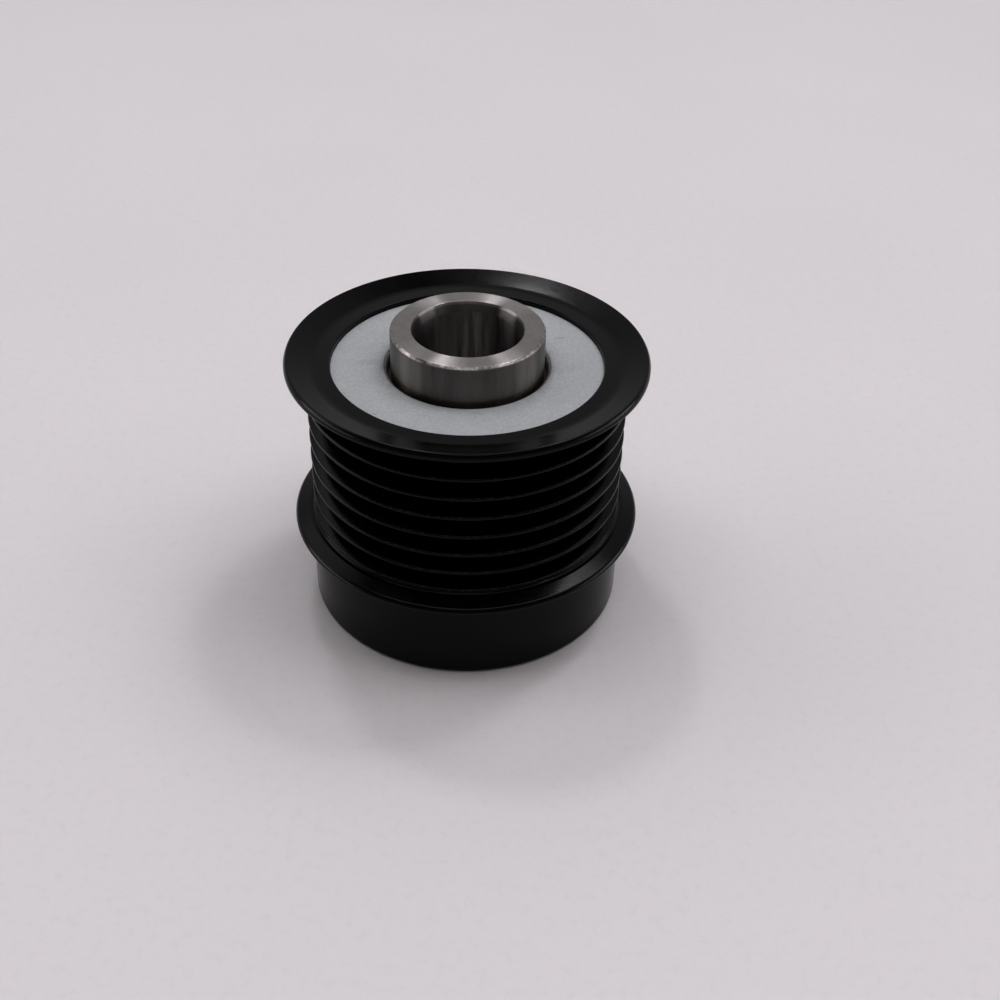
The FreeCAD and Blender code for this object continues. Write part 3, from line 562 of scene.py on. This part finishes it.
def make_cover_paint():
    """Matt grey paint, handled near the hub, rubbed in four places, darker in a ring and in broken dashes at
    its inner edge, where it turns down beside the hub.
    """
    material, tree, shader = start_material("matt cover paint", IOR=1.5, Specular_IOR_Level=0.3)
    grey, light_grey = (0.337, 0.347, 0.363), (0.421, 0.430, 0.448)
    soiled = (0.16, 0.16, 0.158)
    dark_hole_rim = (0.06, 0.055, 0.047)
    dark_lip_dashes = (0.05, 0.045, 0.038)
    dusty = (0.13, 0.13, 0.135)
    spot = effect(tree, LATHE_PLACE)
    grain = effect(tree, FINE_GRAIN, Grain_mm=0.34, Swell_mm=2.6, Swell_share=0.3)
    colour = blend_colours(tree, ramp(tree, grain["Height"], 0.35, 0.95), grey, light_grey)
    handled = ramp(tree, spot["Radius"], 13.2, 16.0, 1.0, 0.0)
    patches = effect(tree, TOOL_MARKS, Feed_mm=3.0, Wander=2.0)["Patch"]
    soil = sums(tree, "MULTIPLY", handled, ramp(tree, patches, 0.45, 0.70, 0.04, 0.28))
    for east, north, along, across, lean, share in COVER_RUBS:
        rub = effect(tree, RUB_MARK, East=east, North=north, Along_mm=along, Across_mm=across, Lean=lean)
        soil = sums(tree, "MAXIMUM", soil, sums(tree, "MULTIPLY", rub["Mask"], share))
    colour = blend_colours(tree, soil, colour, soiled)
    # Darker ring where the paint turns down into the hole, and darker broken dashes lower on the turned-down
    # lip beside the hub.
    dark_hole_rim_band = effect(tree, BROKEN_EDGE_BAND, Radius=spot["Radius"], Height=spot["Height"],
                   Edge_radius=COVER_BORE + 0.39, Edge_height=COVER_LEVEL - 0.20,
                   Width_mm=0.24, Breaks=0.36)["Mask"]
    colour = blend_colours(tree, sums(tree, "MULTIPLY", dark_hole_rim_band, 0.8), colour, dark_hole_rim)
    dark_lip_dash_band = effect(tree, BROKEN_EDGE_BAND, Radius=spot["Radius"], Height=spot["Height"],
                   Edge_radius=COVER_BORE + 0.10, Edge_height=COVER_LEVEL - 0.55,
                   Width_mm=0.35, Breaks=0.52)["Mask"]
    colour = blend_colours(tree, sums(tree, "MULTIPLY", dark_lip_dash_band, 0.8), colour, dark_lip_dashes)
    dust = effect(tree, DUST, Spacing_mm=2.0, Speck_mm=0.09, Share=0.25)["Mask"]
    colour = blend_colours(tree, sums(tree, "MULTIPLY", dust, 0.35), colour, dusty)
    join_up(tree, shader, colour, wander(tree, grain["Coarse"], 0.52, 0.62),
            relief(tree, grain["Height"], depth=0.012, strength=0.6))
    return material


def make_sheet_steel():
    """Pressed sheet of the seal case and the clutch washers, in dull and bright patches."""
    material, tree, shader = start_material("pressed steel sheet", Metallic=1.0)
    dull, bright = (0.36, 0.36, 0.355), (0.52, 0.52, 0.51)
    marks = effect(tree, TOOL_MARKS, Feed_mm=0.35, Wander=1.2)
    grain = effect(tree, FINE_GRAIN, Grain_mm=0.2, Swell_mm=2.0, Swell_share=0.5)
    join_up(tree, shader, blend_colours(tree, marks["Patch"], dull, bright),
            wander(tree, grain["Coarse"], 0.34, 0.46),
            relief(tree, grain["Height"], depth=0.006, strength=0.5))
    return material


def make_seal_rubber():
    """Black moulded rubber of the seals, with a fine grain and pale dust."""
    material, tree, shader = start_material("moulded seal rubber", IOR=1.5)
    black, less_black = (0.010, 0.010, 0.010), (0.018, 0.018, 0.019)
    dusty = (0.12, 0.12, 0.11)
    grain = effect(tree, FINE_GRAIN, Grain_mm=0.12, Swell_mm=1.5, Swell_share=0.6)
    dust = effect(tree, DUST, Spacing_mm=1.5, Speck_mm=0.07, Share=0.3)["Mask"]
    colour = blend_colours(tree, grain["Coarse"], black, less_black)
    colour = blend_colours(tree, sums(tree, "MULTIPLY", dust, 0.5), colour, dusty)
    join_up(tree, shader, colour, wander(tree, grain["Coarse"], 0.48, 0.62),
            relief(tree, grain["Height"], depth=0.012, strength=0.7))
    return material


def make_ground_steel():
    """Ground rings of the bearings and the clutch, bright, with fine marks around the axis."""
    material, tree, shader = start_material("ground ring steel", Metallic=1.0)
    dull, bright = (0.50, 0.50, 0.50), (0.62, 0.62, 0.615)
    marks = effect(tree, TOOL_MARKS, Feed_mm=0.05, Wander=0.3)
    join_up(tree, shader, blend_colours(tree, marks["Rings"], dull, bright),
            wander(tree, marks["Patch"], 0.20, 0.28),
            relief(tree, marks["Rings"], depth=0.0015, strength=0.5))
    radial_sheen(tree, shader, 0.5)
    return material


def make_ball_steel():
    """Lapped balls and rollers, almost a mirror."""
    material, tree, shader = start_material("lapped rolling steel", Metallic=1.0)
    dull, bright = (0.66, 0.66, 0.67), (0.74, 0.74, 0.75)
    grain = effect(tree, FINE_GRAIN, Grain_mm=0.3, Swell_mm=1.5, Swell_share=0.5)
    join_up(tree, shader, blend_colours(tree, grain["Coarse"], dull, bright),
            wander(tree, grain["Coarse"], 0.06, 0.12),
            relief(tree, grain["Height"], depth=0.0006, strength=0.4))
    return material


def make_cage_plastic():
    """Brown moulded plastic of the cages, with a soft swell."""
    material, tree, shader = start_material("moulded cage plastic", IOR=1.5)
    brown, light_brown = (0.34, 0.24, 0.12), (0.46, 0.34, 0.19)
    grain = effect(tree, FINE_GRAIN, Grain_mm=0.25, Swell_mm=2.2, Swell_share=0.7)
    join_up(tree, shader, blend_colours(tree, grain["Coarse"], brown, light_brown),
            ramp(tree, grain["Height"], 0.4, 1.0, 0.38, 0.52),
            relief(tree, grain["Height"], depth=0.008, strength=0.5))
    return material


def make_spring_steel():
    """Spring steel of the clutch springs and the snap rings, oiled in patches."""
    material, tree, shader = start_material("oiled spring steel", Metallic=1.0)
    oiled, bare = (0.16, 0.15, 0.145), (0.30, 0.29, 0.275)
    grain = effect(tree, FINE_GRAIN, Grain_mm=0.1, Swell_mm=1.1, Swell_share=0.6)
    marks = effect(tree, TOOL_MARKS, Feed_mm=0.2, Wander=0.8)
    join_up(tree, shader, blend_colours(tree, ramp(tree, marks["Patch"], 0.35, 0.65), oiled, bare),
            wander(tree, grain["Coarse"], 0.30, 0.42),
            relief(tree, grain["Height"], depth=0.004, strength=0.6))
    return material


def make_bench_top():
    """Plain pale floor with slow clouds and faint flecks."""
    material, tree, shader = start_material("pale bench top", IOR=1.45)
    pale, paler = (0.648, 0.619, 0.640), (0.675, 0.645, 0.665)
    flecked = (0.52, 0.497, 0.512)
    spot = place_mm(tree)
    cloud = speckle(tree, spot, 0.012, detail=3.0)
    fleck = speckle(tree, spot, 0.55, detail=4.0, rough=0.7)
    colour = blend_colours(tree, cloud, pale, paler)
    colour = blend_colours(tree, ramp(tree, fleck, 0.48, 0.72, 0.0, 0.18), colour, flecked)
    join_up(tree, shader, colour, wander(tree, cloud, 0.55, 0.62),
            relief(tree, speckle(tree, spot, 2.0, detail=3.0), depth=0.01, strength=0.3))
    return material


# One finish for each material slot of the record.
FINISH = {
    "black_coating": make_black_coat(),
    "turned_steel": make_hub_steel(),
    "grey_cover": make_cover_paint(),
    "sheet_steel": make_sheet_steel(),
    "seal_rubber": make_seal_rubber(),
    "bearing_steel": make_ground_steel(),
    "ball_steel": make_ball_steel(),
    "cage_plastic": make_cage_plastic(),
    "spring_steel": make_spring_steel(),
}


def finish_with(piece, slot):
    """Gives a piece the finish of its slot and no other."""
    piece.data.materials.clear()
    piece.data.materials.append(FINISH[slot])


def mount(piece, body, slot, *nodes):
    """Polishes a piece, gives it its finish and puts it on its body, in place of its solids."""
    polish(piece)
    finish_with(piece, slot)
    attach(piece, body)
    if nodes:
        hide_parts(*nodes)


# Pulley ring

def groove_corners(middle):
    """One V groove, from the crest below it to the crest above it."""
    flank = [
        (RIB_RADIUS, (RIB_PITCH - RIB_LAND) / 2, 0.2),
        (GROOVE_FLOOR + 0.1, FLOOR_HALF_WIDTH + 0.2, 0.06), (GROOVE_FLOOR, FLOOR_HALF_WIDTH, 0.05),
    ]
    lower = [(radius, middle - away, rounding) for radius, away, rounding in flank]
    upper = [(radius, middle + away, rounding) for radius, away, rounding in reversed(flank)]
    return lower + upper


def pulley_corners():
    """The outside from the skirt rim up over the ribs to the lip, then down the bore."""
    corners = [
        (SKIRT_RADIUS - 0.5, 0.0, 0.12), (SKIRT_RADIUS, 0.5, 0.15), (SKIRT_RADIUS, LOWER_RIM - 1.52, 0.3),
        (FLANGE_RADIUS - 0.25, LOWER_RIM - 0.22, 0.12), (FLANGE_RADIUS, LOWER_RIM, 0.1),
        (FLANGE_RADIUS, LOWER_RIM + 0.37, 0.14), (FLANGE_RADIUS - 0.34, LOWER_RIM + 0.83, 0.16),
        (RIB_RADIUS + 0.75, LOWER_RIM + 1.57, 0.2), (RIB_RADIUS + 0.25, LOWER_RIM + 1.57, 0.1),
        (RIB_RADIUS, LOWER_RIM + 1.82, 0.1),
    ]
    for groove in range(GROOVES):
        corners += groove_corners(FIRST_GROOVE + groove * RIB_PITCH)
    top = [
        (RIB_RADIUS, UPPER_RIM - 2.26, 0.1), (RIB_RADIUS + 0.4, UPPER_RIM - 2.01, 0.15),
        (FLANGE_RADIUS - 0.26, UPPER_RIM - 0.21, 0.12), (FLANGE_RADIUS, UPPER_RIM, 0.12),
        (FLANGE_RADIUS, UPPER_RIM + 0.56, 0.2), (FLANGE_RADIUS - 0.4, UPPER_RIM + 1.21, 0.24),
        (FLANGE_RADIUS - 3.35, LIP_LEVEL + 0.38, 0.6), (FLANGE_RADIUS - 4.10, LIP_LEVEL + 0.11, 0.3),
        (FLANGE_RADIUS - 4.85, LIP_LEVEL, 0.3),
        (COVER_SEAT_RADIUS + 0.15, LIP_LEVEL, 0.05), (COVER_SEAT_RADIUS, LIP_LEVEL - 0.15, 0.05),
        (COVER_SEAT_RADIUS, COVER_SEAT_LEVEL),
    ]
    bore = [
        (SEAL_SEAT_RADIUS, COVER_SEAT_LEVEL, 0.1), (SEAL_SEAT_RADIUS, SEAL_SEAT_LEVEL),
        (SEAL_SHOULDER, SEAL_SEAT_LEVEL, 0.1), (SEAL_SHOULDER, STACK_TOP, 0.1), (STACK_BORE, STACK_TOP),
        (STACK_BORE, STACK_FOOT), (SNAP_GROOVE_FLOOR, STACK_FOOT), (SNAP_GROOVE_FLOOR, STACK_FOOT - 1.6),
        (STACK_BORE, STACK_FOOT - 1.6), (STACK_BORE, CAP_SEAT_LEVEL + 0.5),
        (STACK_BORE + 0.5, CAP_SEAT_LEVEL), (CATCH_GROOVE_FLOOR, CAP_SEAT_LEVEL),
        (CATCH_GROOVE_FLOOR, CAP_SEAT_LEVEL - 0.612), (CAP_SEAT_RADIUS, CAP_SEAT_LEVEL - 1.01),
        (CAP_SEAT_RADIUS, 0.5, 0.1), (CAP_SEAT_RADIUS + 0.5, 0.0, 0.1),
    ]
    return corners + top + bore


pulley_ring = turn("pulley_ring", pulley_corners(), PULLEY_STEPS)
mount(pulley_ring, "pulley_body", "black_coating", "pulley")


# Hub

def hub_corners():
    """The outside from the skirt end up to the face, then down the bore to the tool recess."""
    outside = [
        (HUB_SEAT_RADIUS - 0.5, HUB_FOOT, 0.08), (HUB_SEAT_RADIUS - 0.1, HUB_FOOT + 0.4, 0.08),
        (HUB_SEAT_RADIUS - 0.1, STACK_FOOT - 1.3), (HUB_SEAT_RADIUS - 0.55, STACK_FOOT - 1.3),
        (HUB_SEAT_RADIUS - 0.55, STACK_FOOT), (HUB_SEAT_RADIUS, STACK_FOOT),
        (HUB_SEAT_RADIUS, STACK_TOP), (HUB_SHOULDER, STACK_TOP, 0.05),
        (HUB_SHOULDER, HUB_SHOULDER_TOP - 0.3, 0.08), (HUB_SHOULDER - 0.3, HUB_SHOULDER_TOP, 0.08),
        (HUB_RADIUS, HUB_SHOULDER_TOP), (HUB_RADIUS, HUB_TOP - HUB_CHAMFER, 0.05),
        (HUB_RADIUS - HUB_CHAMFER, HUB_TOP, 0.05),
    ]
    inside = [
        (SHAFT_BORE + 0.5, HUB_TOP, 0.1), (SHAFT_BORE, LEAD_IN_FOOT, 0.15),
        (SHAFT_BORE, THREAD_TOP + 0.6, 0.08), (THREAD_OUTSIDE, THREAD_TOP),
        (THREAD_OUTSIDE, TOOL_RECESS_TOP + 0.3),
        (THREAD_OUTSIDE - 0.01, TOOL_RECESS_TOP, 0.05), (TOOL_RECESS_RADIUS, TOOL_RECESS_TOP),
        (TOOL_RECESS_RADIUS, HUB_FOOT + 0.9, 0.05), (TOOL_RECESS_RADIUS + 0.9, HUB_FOOT, 0.08),
    ]
    return outside + inside


# The gap between two teeth of the tool recess, in mm: where it starts, and how far it reaches.
GAP_MIDDLE = 9.5
GAP_FOOT = 4.0
GAP_HEIGHT = 9.7
GAP_DEPTH = 1.05
GAP_MOUTH_WIDTH = 1.48
GAP_END_WIDTH = 0.288
GAP_END_PULL = 0.075


def draw_tooth_gap():
    """A plane 1 mm square is drawn out to a V, wide towards the axis, and pulled up."""
    clear_bench()
    bpy.ops.mesh.primitive_plane_add(size=MM, location=(GAP_MIDDLE * MM, 0, GAP_FOOT * MM))
    gap = bpy.context.active_object
    gap.name = "tooth_gap"
    bpy.ops.object.mode_set(mode="EDIT")
    bpy.ops.mesh.select_all(action="SELECT")
    bpy.ops.transform.resize(value=(GAP_DEPTH, 1.0, 1.0))
    pick(gap, lambda place: place.x > GAP_MIDDLE)
    bpy.ops.transform.resize(value=(1.0, GAP_END_WIDTH, 1.0))
    bpy.ops.transform.translate(value=(-GAP_END_PULL * MM, 0, 0))
    pick(gap, lambda place: place.x < GAP_MIDDLE)
    bpy.ops.transform.resize(value=(1.0, GAP_MOUTH_WIDTH, 1.0))
    bpy.ops.mesh.select_all(action="SELECT")
    bpy.ops.mesh.extrude_region_move(TRANSFORM_OT_translate={"value": (0, 0, GAP_HEIGHT * MM)})
    bpy.ops.mesh.select_all(action="SELECT")
    bpy.ops.mesh.normals_make_consistent(inside=False)
    bpy.ops.object.mode_set(mode="OBJECT")
    settle(gap)
    return gap


def cut_tool_teeth(blank):
    """Copies one gap around the axis and takes all of them out of the hub."""
    gap = draw_tooth_gap()
    gaps = [gap]
    for number in range(1, TOOL_TEETH):
        take(gap)
        bpy.ops.object.duplicate(linked=False)
        copy = bpy.context.active_object
        copy.rotation_euler = (0, 0, math.tau * number / TOOL_TEETH)
        settle(copy)
        gaps.append(copy)
    take(*gaps)
    bpy.ops.object.join()
    take(blank)
    bpy.ops.object.modifier_add(type="BOOLEAN")
    cut = blank.modifiers[-1]
    cut.operation = "DIFFERENCE"
    cut.object = gap
    cut.solver = "EXACT"
    bpy.ops.object.modifier_apply(modifier=cut.name)
    take(gap)
    bpy.ops.object.delete()


hub_sleeve = turn("hub_sleeve", hub_corners(), HUB_STEPS)
cut_tool_teeth(hub_sleeve)
mount(hub_sleeve, "hub_body", "turned_steel", "hub")


# The thread ridge, in mm: its foot just inside the metal, its crest towards the axis, and its start.
RIDGE_FOOT = 8.06
RIDGE_CREST = 7.23
RIDGE_START = 14.99
RIDGE_TURNS = 10
RIDGE_STEPS = 72


def wind_thread():
    """The section of the ridge is drawn once and wound up the pitch."""
    ridge = draw_section("hub_thread", [
        (RIDGE_FOOT, RIDGE_START), (RIDGE_CREST, RIDGE_START + 0.48, 0.04),
        (RIDGE_CREST, RIDGE_START + 0.84, 0.04), (RIDGE_FOOT, RIDGE_START + 1.32),
    ])
    bpy.ops.mesh.select_all(action="SELECT")
    bpy.ops.mesh.delete(type="ONLY_FACE")
    bpy.ops.object.mode_set(mode="OBJECT")
    settle(ridge)
    bpy.ops.object.modifier_add(type="SCREW")
    winding = ridge.modifiers[-1]
    winding.axis = "Z"
    winding.angle = math.tau
    winding.screw_offset = THREAD_PITCH * MM
    winding.iterations = RIDGE_TURNS
    winding.steps = RIDGE_STEPS
    winding.render_steps = RIDGE_STEPS
    bpy.ops.object.modifier_apply(modifier=winding.name)
    bpy.ops.object.mode_set(mode="EDIT")
    bpy.ops.mesh.select_all(action="DESELECT")
    bpy.ops.mesh.select_mode(type="EDGE")
    bpy.ops.mesh.select_non_manifold(extend=False)
    bpy.ops.mesh.fill_holes(sides=0)
    close_skin(ridge)
    return ridge


hub_thread = wind_thread()
mount(hub_thread, "hub_body", "turned_steel")


# Cover

cover_disc = turn("cover_disc", [
    (COVER_SEAT_RADIUS, COVER_SEAT_LEVEL), (COVER_SEAT_RADIUS, COVER_LEVEL - 0.08, 0.08),
    (COVER_SEAT_RADIUS - 0.08, COVER_LEVEL, 0.05), (COVER_BORE + 1.15, COVER_LEVEL, 0.3),
    (COVER_BORE + 0.69, COVER_LEVEL - 0.09, 0.2), (COVER_BORE + 0.25, COVER_LEVEL - 0.3, 0.15),
    (COVER_BORE + 0.06, COVER_LEVEL - 0.62, 0.12), (COVER_BORE, COVER_SEAT_LEVEL, 0.1),
    (COVER_BORE, COVER_SEAT_LEVEL - 0.6), (COVER_BORE + 0.805, COVER_SEAT_LEVEL - 0.6),
    (COVER_BORE + 0.95, COVER_SEAT_LEVEL - 0.24, 0.05), (COVER_BORE + 1.35, COVER_SEAT_LEVEL, 0.1),
], PULLEY_STEPS)
mount(cover_disc, "pulley_body", "grey_cover", "rear_cover")


# Bearing at the skirt end

BEARING_TOP = STACK_FOOT + BEARING_HEIGHT
BALL_LEVEL = STACK_FOOT + BEARING_HEIGHT / 2
TRACK_HALF_WIDTH = 0.95
TRACK_DEPTH = 0.42
EDGE_BREAK = 0.3
OUTER_SHOULDER = 16.8
INNER_SHOULDER = 14.2
SEAL_FACE = 6.88
SEAL_BACK = 7.58
SEAL_GROOVE = 17.3
SEAL_LIP = 14.28

front_ring_outer = turn("front_ring_outer", [
    (STACK_BORE - EDGE_BREAK, STACK_FOOT, 0.1), (STACK_BORE, STACK_FOOT + EDGE_BREAK, 0.1),
    (STACK_BORE, BEARING_TOP - EDGE_BREAK, 0.1), (STACK_BORE - EDGE_BREAK, BEARING_TOP, 0.1),
    (OUTER_SHOULDER, BEARING_TOP, 0.05), (OUTER_SHOULDER, BALL_LEVEL + TRACK_HALF_WIDTH),
    (OUTER_SHOULDER + TRACK_DEPTH, BALL_LEVEL, 0.5), (OUTER_SHOULDER, BALL_LEVEL - TRACK_HALF_WIDTH),
    (OUTER_SHOULDER, SEAL_BACK), (SEAL_GROOVE, SEAL_BACK), (SEAL_GROOVE, STACK_FOOT, 0.06),
], RING_STEPS)
mount(front_ring_outer, "pulley_body", "bearing_steel", "front_bearing_outer_ring")

front_ring_inner = turn("front_ring_inner", [
    (HUB_SEAT_RADIUS + EDGE_BREAK, STACK_FOOT, 0.1), (INNER_SHOULDER, STACK_FOOT, 0.08),
    (INNER_SHOULDER, BALL_LEVEL - TRACK_HALF_WIDTH), (INNER_SHOULDER - TRACK_DEPTH, BALL_LEVEL, 0.5),
    (INNER_SHOULDER, BALL_LEVEL + TRACK_HALF_WIDTH), (INNER_SHOULDER, BEARING_TOP, 0.08),
    (HUB_SEAT_RADIUS + EDGE_BREAK, BEARING_TOP, 0.1), (HUB_SEAT_RADIUS, BEARING_TOP - EDGE_BREAK, 0.1),
    (HUB_SEAT_RADIUS, STACK_FOOT + EDGE_BREAK, 0.1),
], RING_STEPS)
mount(front_ring_inner, "hub_body", "bearing_steel", "front_bearing_inner_ring")

front_seal_disc = turn("front_seal_disc", [
    (SEAL_LIP, SEAL_FACE + 0.10, 0.06), (14.62, SEAL_FACE, 0.06), (14.95, SEAL_FACE, 0.05),
    (15.1, SEAL_FACE + 0.14, 0.05), (15.5, SEAL_FACE + 0.14, 0.05), (15.65, SEAL_FACE, 0.05),
    (16.75, SEAL_FACE, 0.08), (16.95, SEAL_FACE + 0.08, 0.05), (SEAL_GROOVE, SEAL_FACE + 0.08, 0.05),
    (SEAL_GROOVE, SEAL_BACK), (SEAL_LIP, SEAL_BACK),
], RING_STEPS)
mount(front_seal_disc, "pulley_body", "seal_rubber", "front_bearing_seal")


# The solids that keep their shape take their finish in place.
slots = {entry["node"]: entry["material_slot"] for entry in frame["record"]["subparts"]}
for solid in list(bpy.data.objects):
    if solid.type == "MESH" and solid.name in slots:
        finish_with(solid, slots[solid.name])


# Floor, its width in metres

FLOOR_WIDTH = 8

clear_bench()
bpy.ops.mesh.primitive_plane_add(size=FLOOR_WIDTH, location=(0, 0, 0))
bench_top = bpy.context.active_object
bench_top.name = "bench_top"
bpy.ops.object.mode_set(mode="EDIT")
bpy.ops.mesh.subdivide(number_cuts=3)
bpy.ops.object.mode_set(mode="OBJECT")
bench_top.data.materials.append(make_bench_top())


# Light

LAMP_AIM = Vector((0, 0, 30 * MM))
LAMP_DISTANCE = 1.6
WHITE = (1.0, 0.985, 0.985)
COOL = (0.97, 0.98, 1.0)
PALE = (0.98, 0.985, 1.0)

# Azimuth and elevation (degrees), width and height (m), watts, colour. Azimuth 0 is behind the part.
LAMPS = {
    "lamp_over": (180, 88, 0.7, 0.7, 2.3, (1.0, 0.985, 0.99)),
    "lamp_right": (90, 55, 0.7, 0.7, 3.0, WHITE),
    "lamp_right_high": (100, 72, 0.7, 0.7, 3.4, WHITE),
    "lamp_left_high": (-100, 72, 0.7, 0.7, 3.9, WHITE),
    "lamp_left_low": (-80, 30, 0.7, 0.7, 2.0, WHITE),
    "lamp_back_right": (46, 58, 0.45, 0.45, 2.9, COOL),
    "lamp_back_left": (-17, 58, 0.6, 0.6, 0.8, COOL),
    "lamp_glint_right": (48, 64.5, 0.14, 0.14, 1.85, PALE),
    "lamp_glint_left": (-22, 62, 0.17, 0.17, 2.8, PALE),
    "lamp_strip_left": (-92, 9, 1.2, 0.35, 4.5, WHITE),
    "lamp_strip_right": (90, 9, 1.2, 0.35, 4.7, WHITE),
    "lamp_glint_side": (115, 40, 0.08, 0.08, 0.5, (1.0, 0.99, 0.985)),
    "lamp_far_left": (-50, 45, 0.7, 0.7, 1.0, COOL),
    "lamp_front": (180, 60, 0.7, 0.7, 1.9, WHITE),
}


def towards(azimuth, elevation):
    """The direction, as a vector of length 1, with these angles in radians."""
    flat = math.cos(elevation)
    return Vector((math.sin(azimuth) * flat, math.cos(azimuth) * flat, math.sin(elevation)))


def hang_lamp(name, azimuth, elevation, width, height, watts, colour):
    """A soft lamp that faces the part."""
    away = towards(math.radians(azimuth), math.radians(elevation))
    clear_bench()
    bpy.ops.object.light_add(type="AREA", location=LAMP_AIM + away * LAMP_DISTANCE)
    lamp = bpy.context.active_object
    lamp.name = name
    lamp.rotation_euler = away.to_track_quat("Z", "Y").to_euler()
    lamp.data.shape = "RECTANGLE"
    lamp.data.size = width
    lamp.data.size_y = height
    lamp.data.energy = watts
    lamp.data.color = colour


for lamp_name, settings in LAMPS.items():
    hang_lamp(lamp_name, *settings)


def make_room():
    """Light from the world: pale in the north up to about 50 degrees, faint in the south up to about 30.
    The camera itself sees an even pale tone."""
    north_glow = 0.56
    south_glow = 0.14
    seen_glow = 0.62
    room = bpy.data.worlds.new("pale room")
    room.use_nodes = True
    tree = room.node_tree
    facing = tree.nodes.new("ShaderNodeTexCoord")
    _, north, up = axes(tree, facing.outputs["Generated"])
    far_side = sums(tree, "MULTIPLY", ramp(tree, north, -0.1, 0.3),
                    ramp(tree, up, 0.75, 0.88, north_glow, 0.0))
    near_side = sums(tree, "MULTIPLY", ramp(tree, north, -0.3, 0.0, 1.0, 0.0),
                     ramp(tree, up, 0.50, 0.65, south_glow, 0.0))
    glow = sums(tree, "ADD", far_side, near_side)
    seen = tree.nodes.new("ShaderNodeLightPath").outputs["Is Camera Ray"]
    unseen = sums(tree, "SUBTRACT", 1.0, seen)
    glow = sums(tree, "ADD", sums(tree, "MULTIPLY", glow, unseen), sums(tree, "MULTIPLY", seen, seen_glow))
    tone = tree.nodes.new("ShaderNodeCombineColor")
    for channel in tone.inputs:
        tree.links.new(glow, channel)
    tree.links.new(tone.outputs[0], tree.nodes["Background"].inputs["Color"])
    return room


scene = bpy.context.scene
scene.world = make_room()
scene.view_settings.view_transform = "Standard"
scene.view_settings.look = "None"
scene.view_settings.gamma = 0.8


# Camera, as fitted to the photograph: angles in radians, place in metres from the foot of the axis.
YAW = 0.0323807
PITCH = 0.6429883
ROLL = 0.0267595
CAMERA_PLACE = Vector((0, -0.1785645, 0.1493761))
FOCAL_LENGTH_PIXELS = 1289.3
PICTURE_WIDTH_PIXELS = 1000
SENSOR_WIDTH_MM = 36

ahead = towards(YAW, -PITCH)
level_right = Vector((math.cos(YAW), -math.sin(YAW), 0))
level_up = level_right.cross(ahead)
right = math.cos(ROLL) * level_right + math.sin(ROLL) * level_up
above = -math.sin(ROLL) * level_right + math.cos(ROLL) * level_up
clear_bench()
bpy.ops.object.camera_add(location=(0, 0, 0))
camera = bpy.context.active_object
camera.matrix_world = Matrix.Translation(CAMERA_PLACE) @ Matrix((right, above, -ahead)).transposed().to_4x4()
camera.data.sensor_width = SENSOR_WIDTH_MM
camera.data.lens = FOCAL_LENGTH_PIXELS * SENSOR_WIDTH_MM / PICTURE_WIDTH_PIXELS
camera.data.clip_start = 0.01
camera.data.clip_end = 50
scene.camera = camera
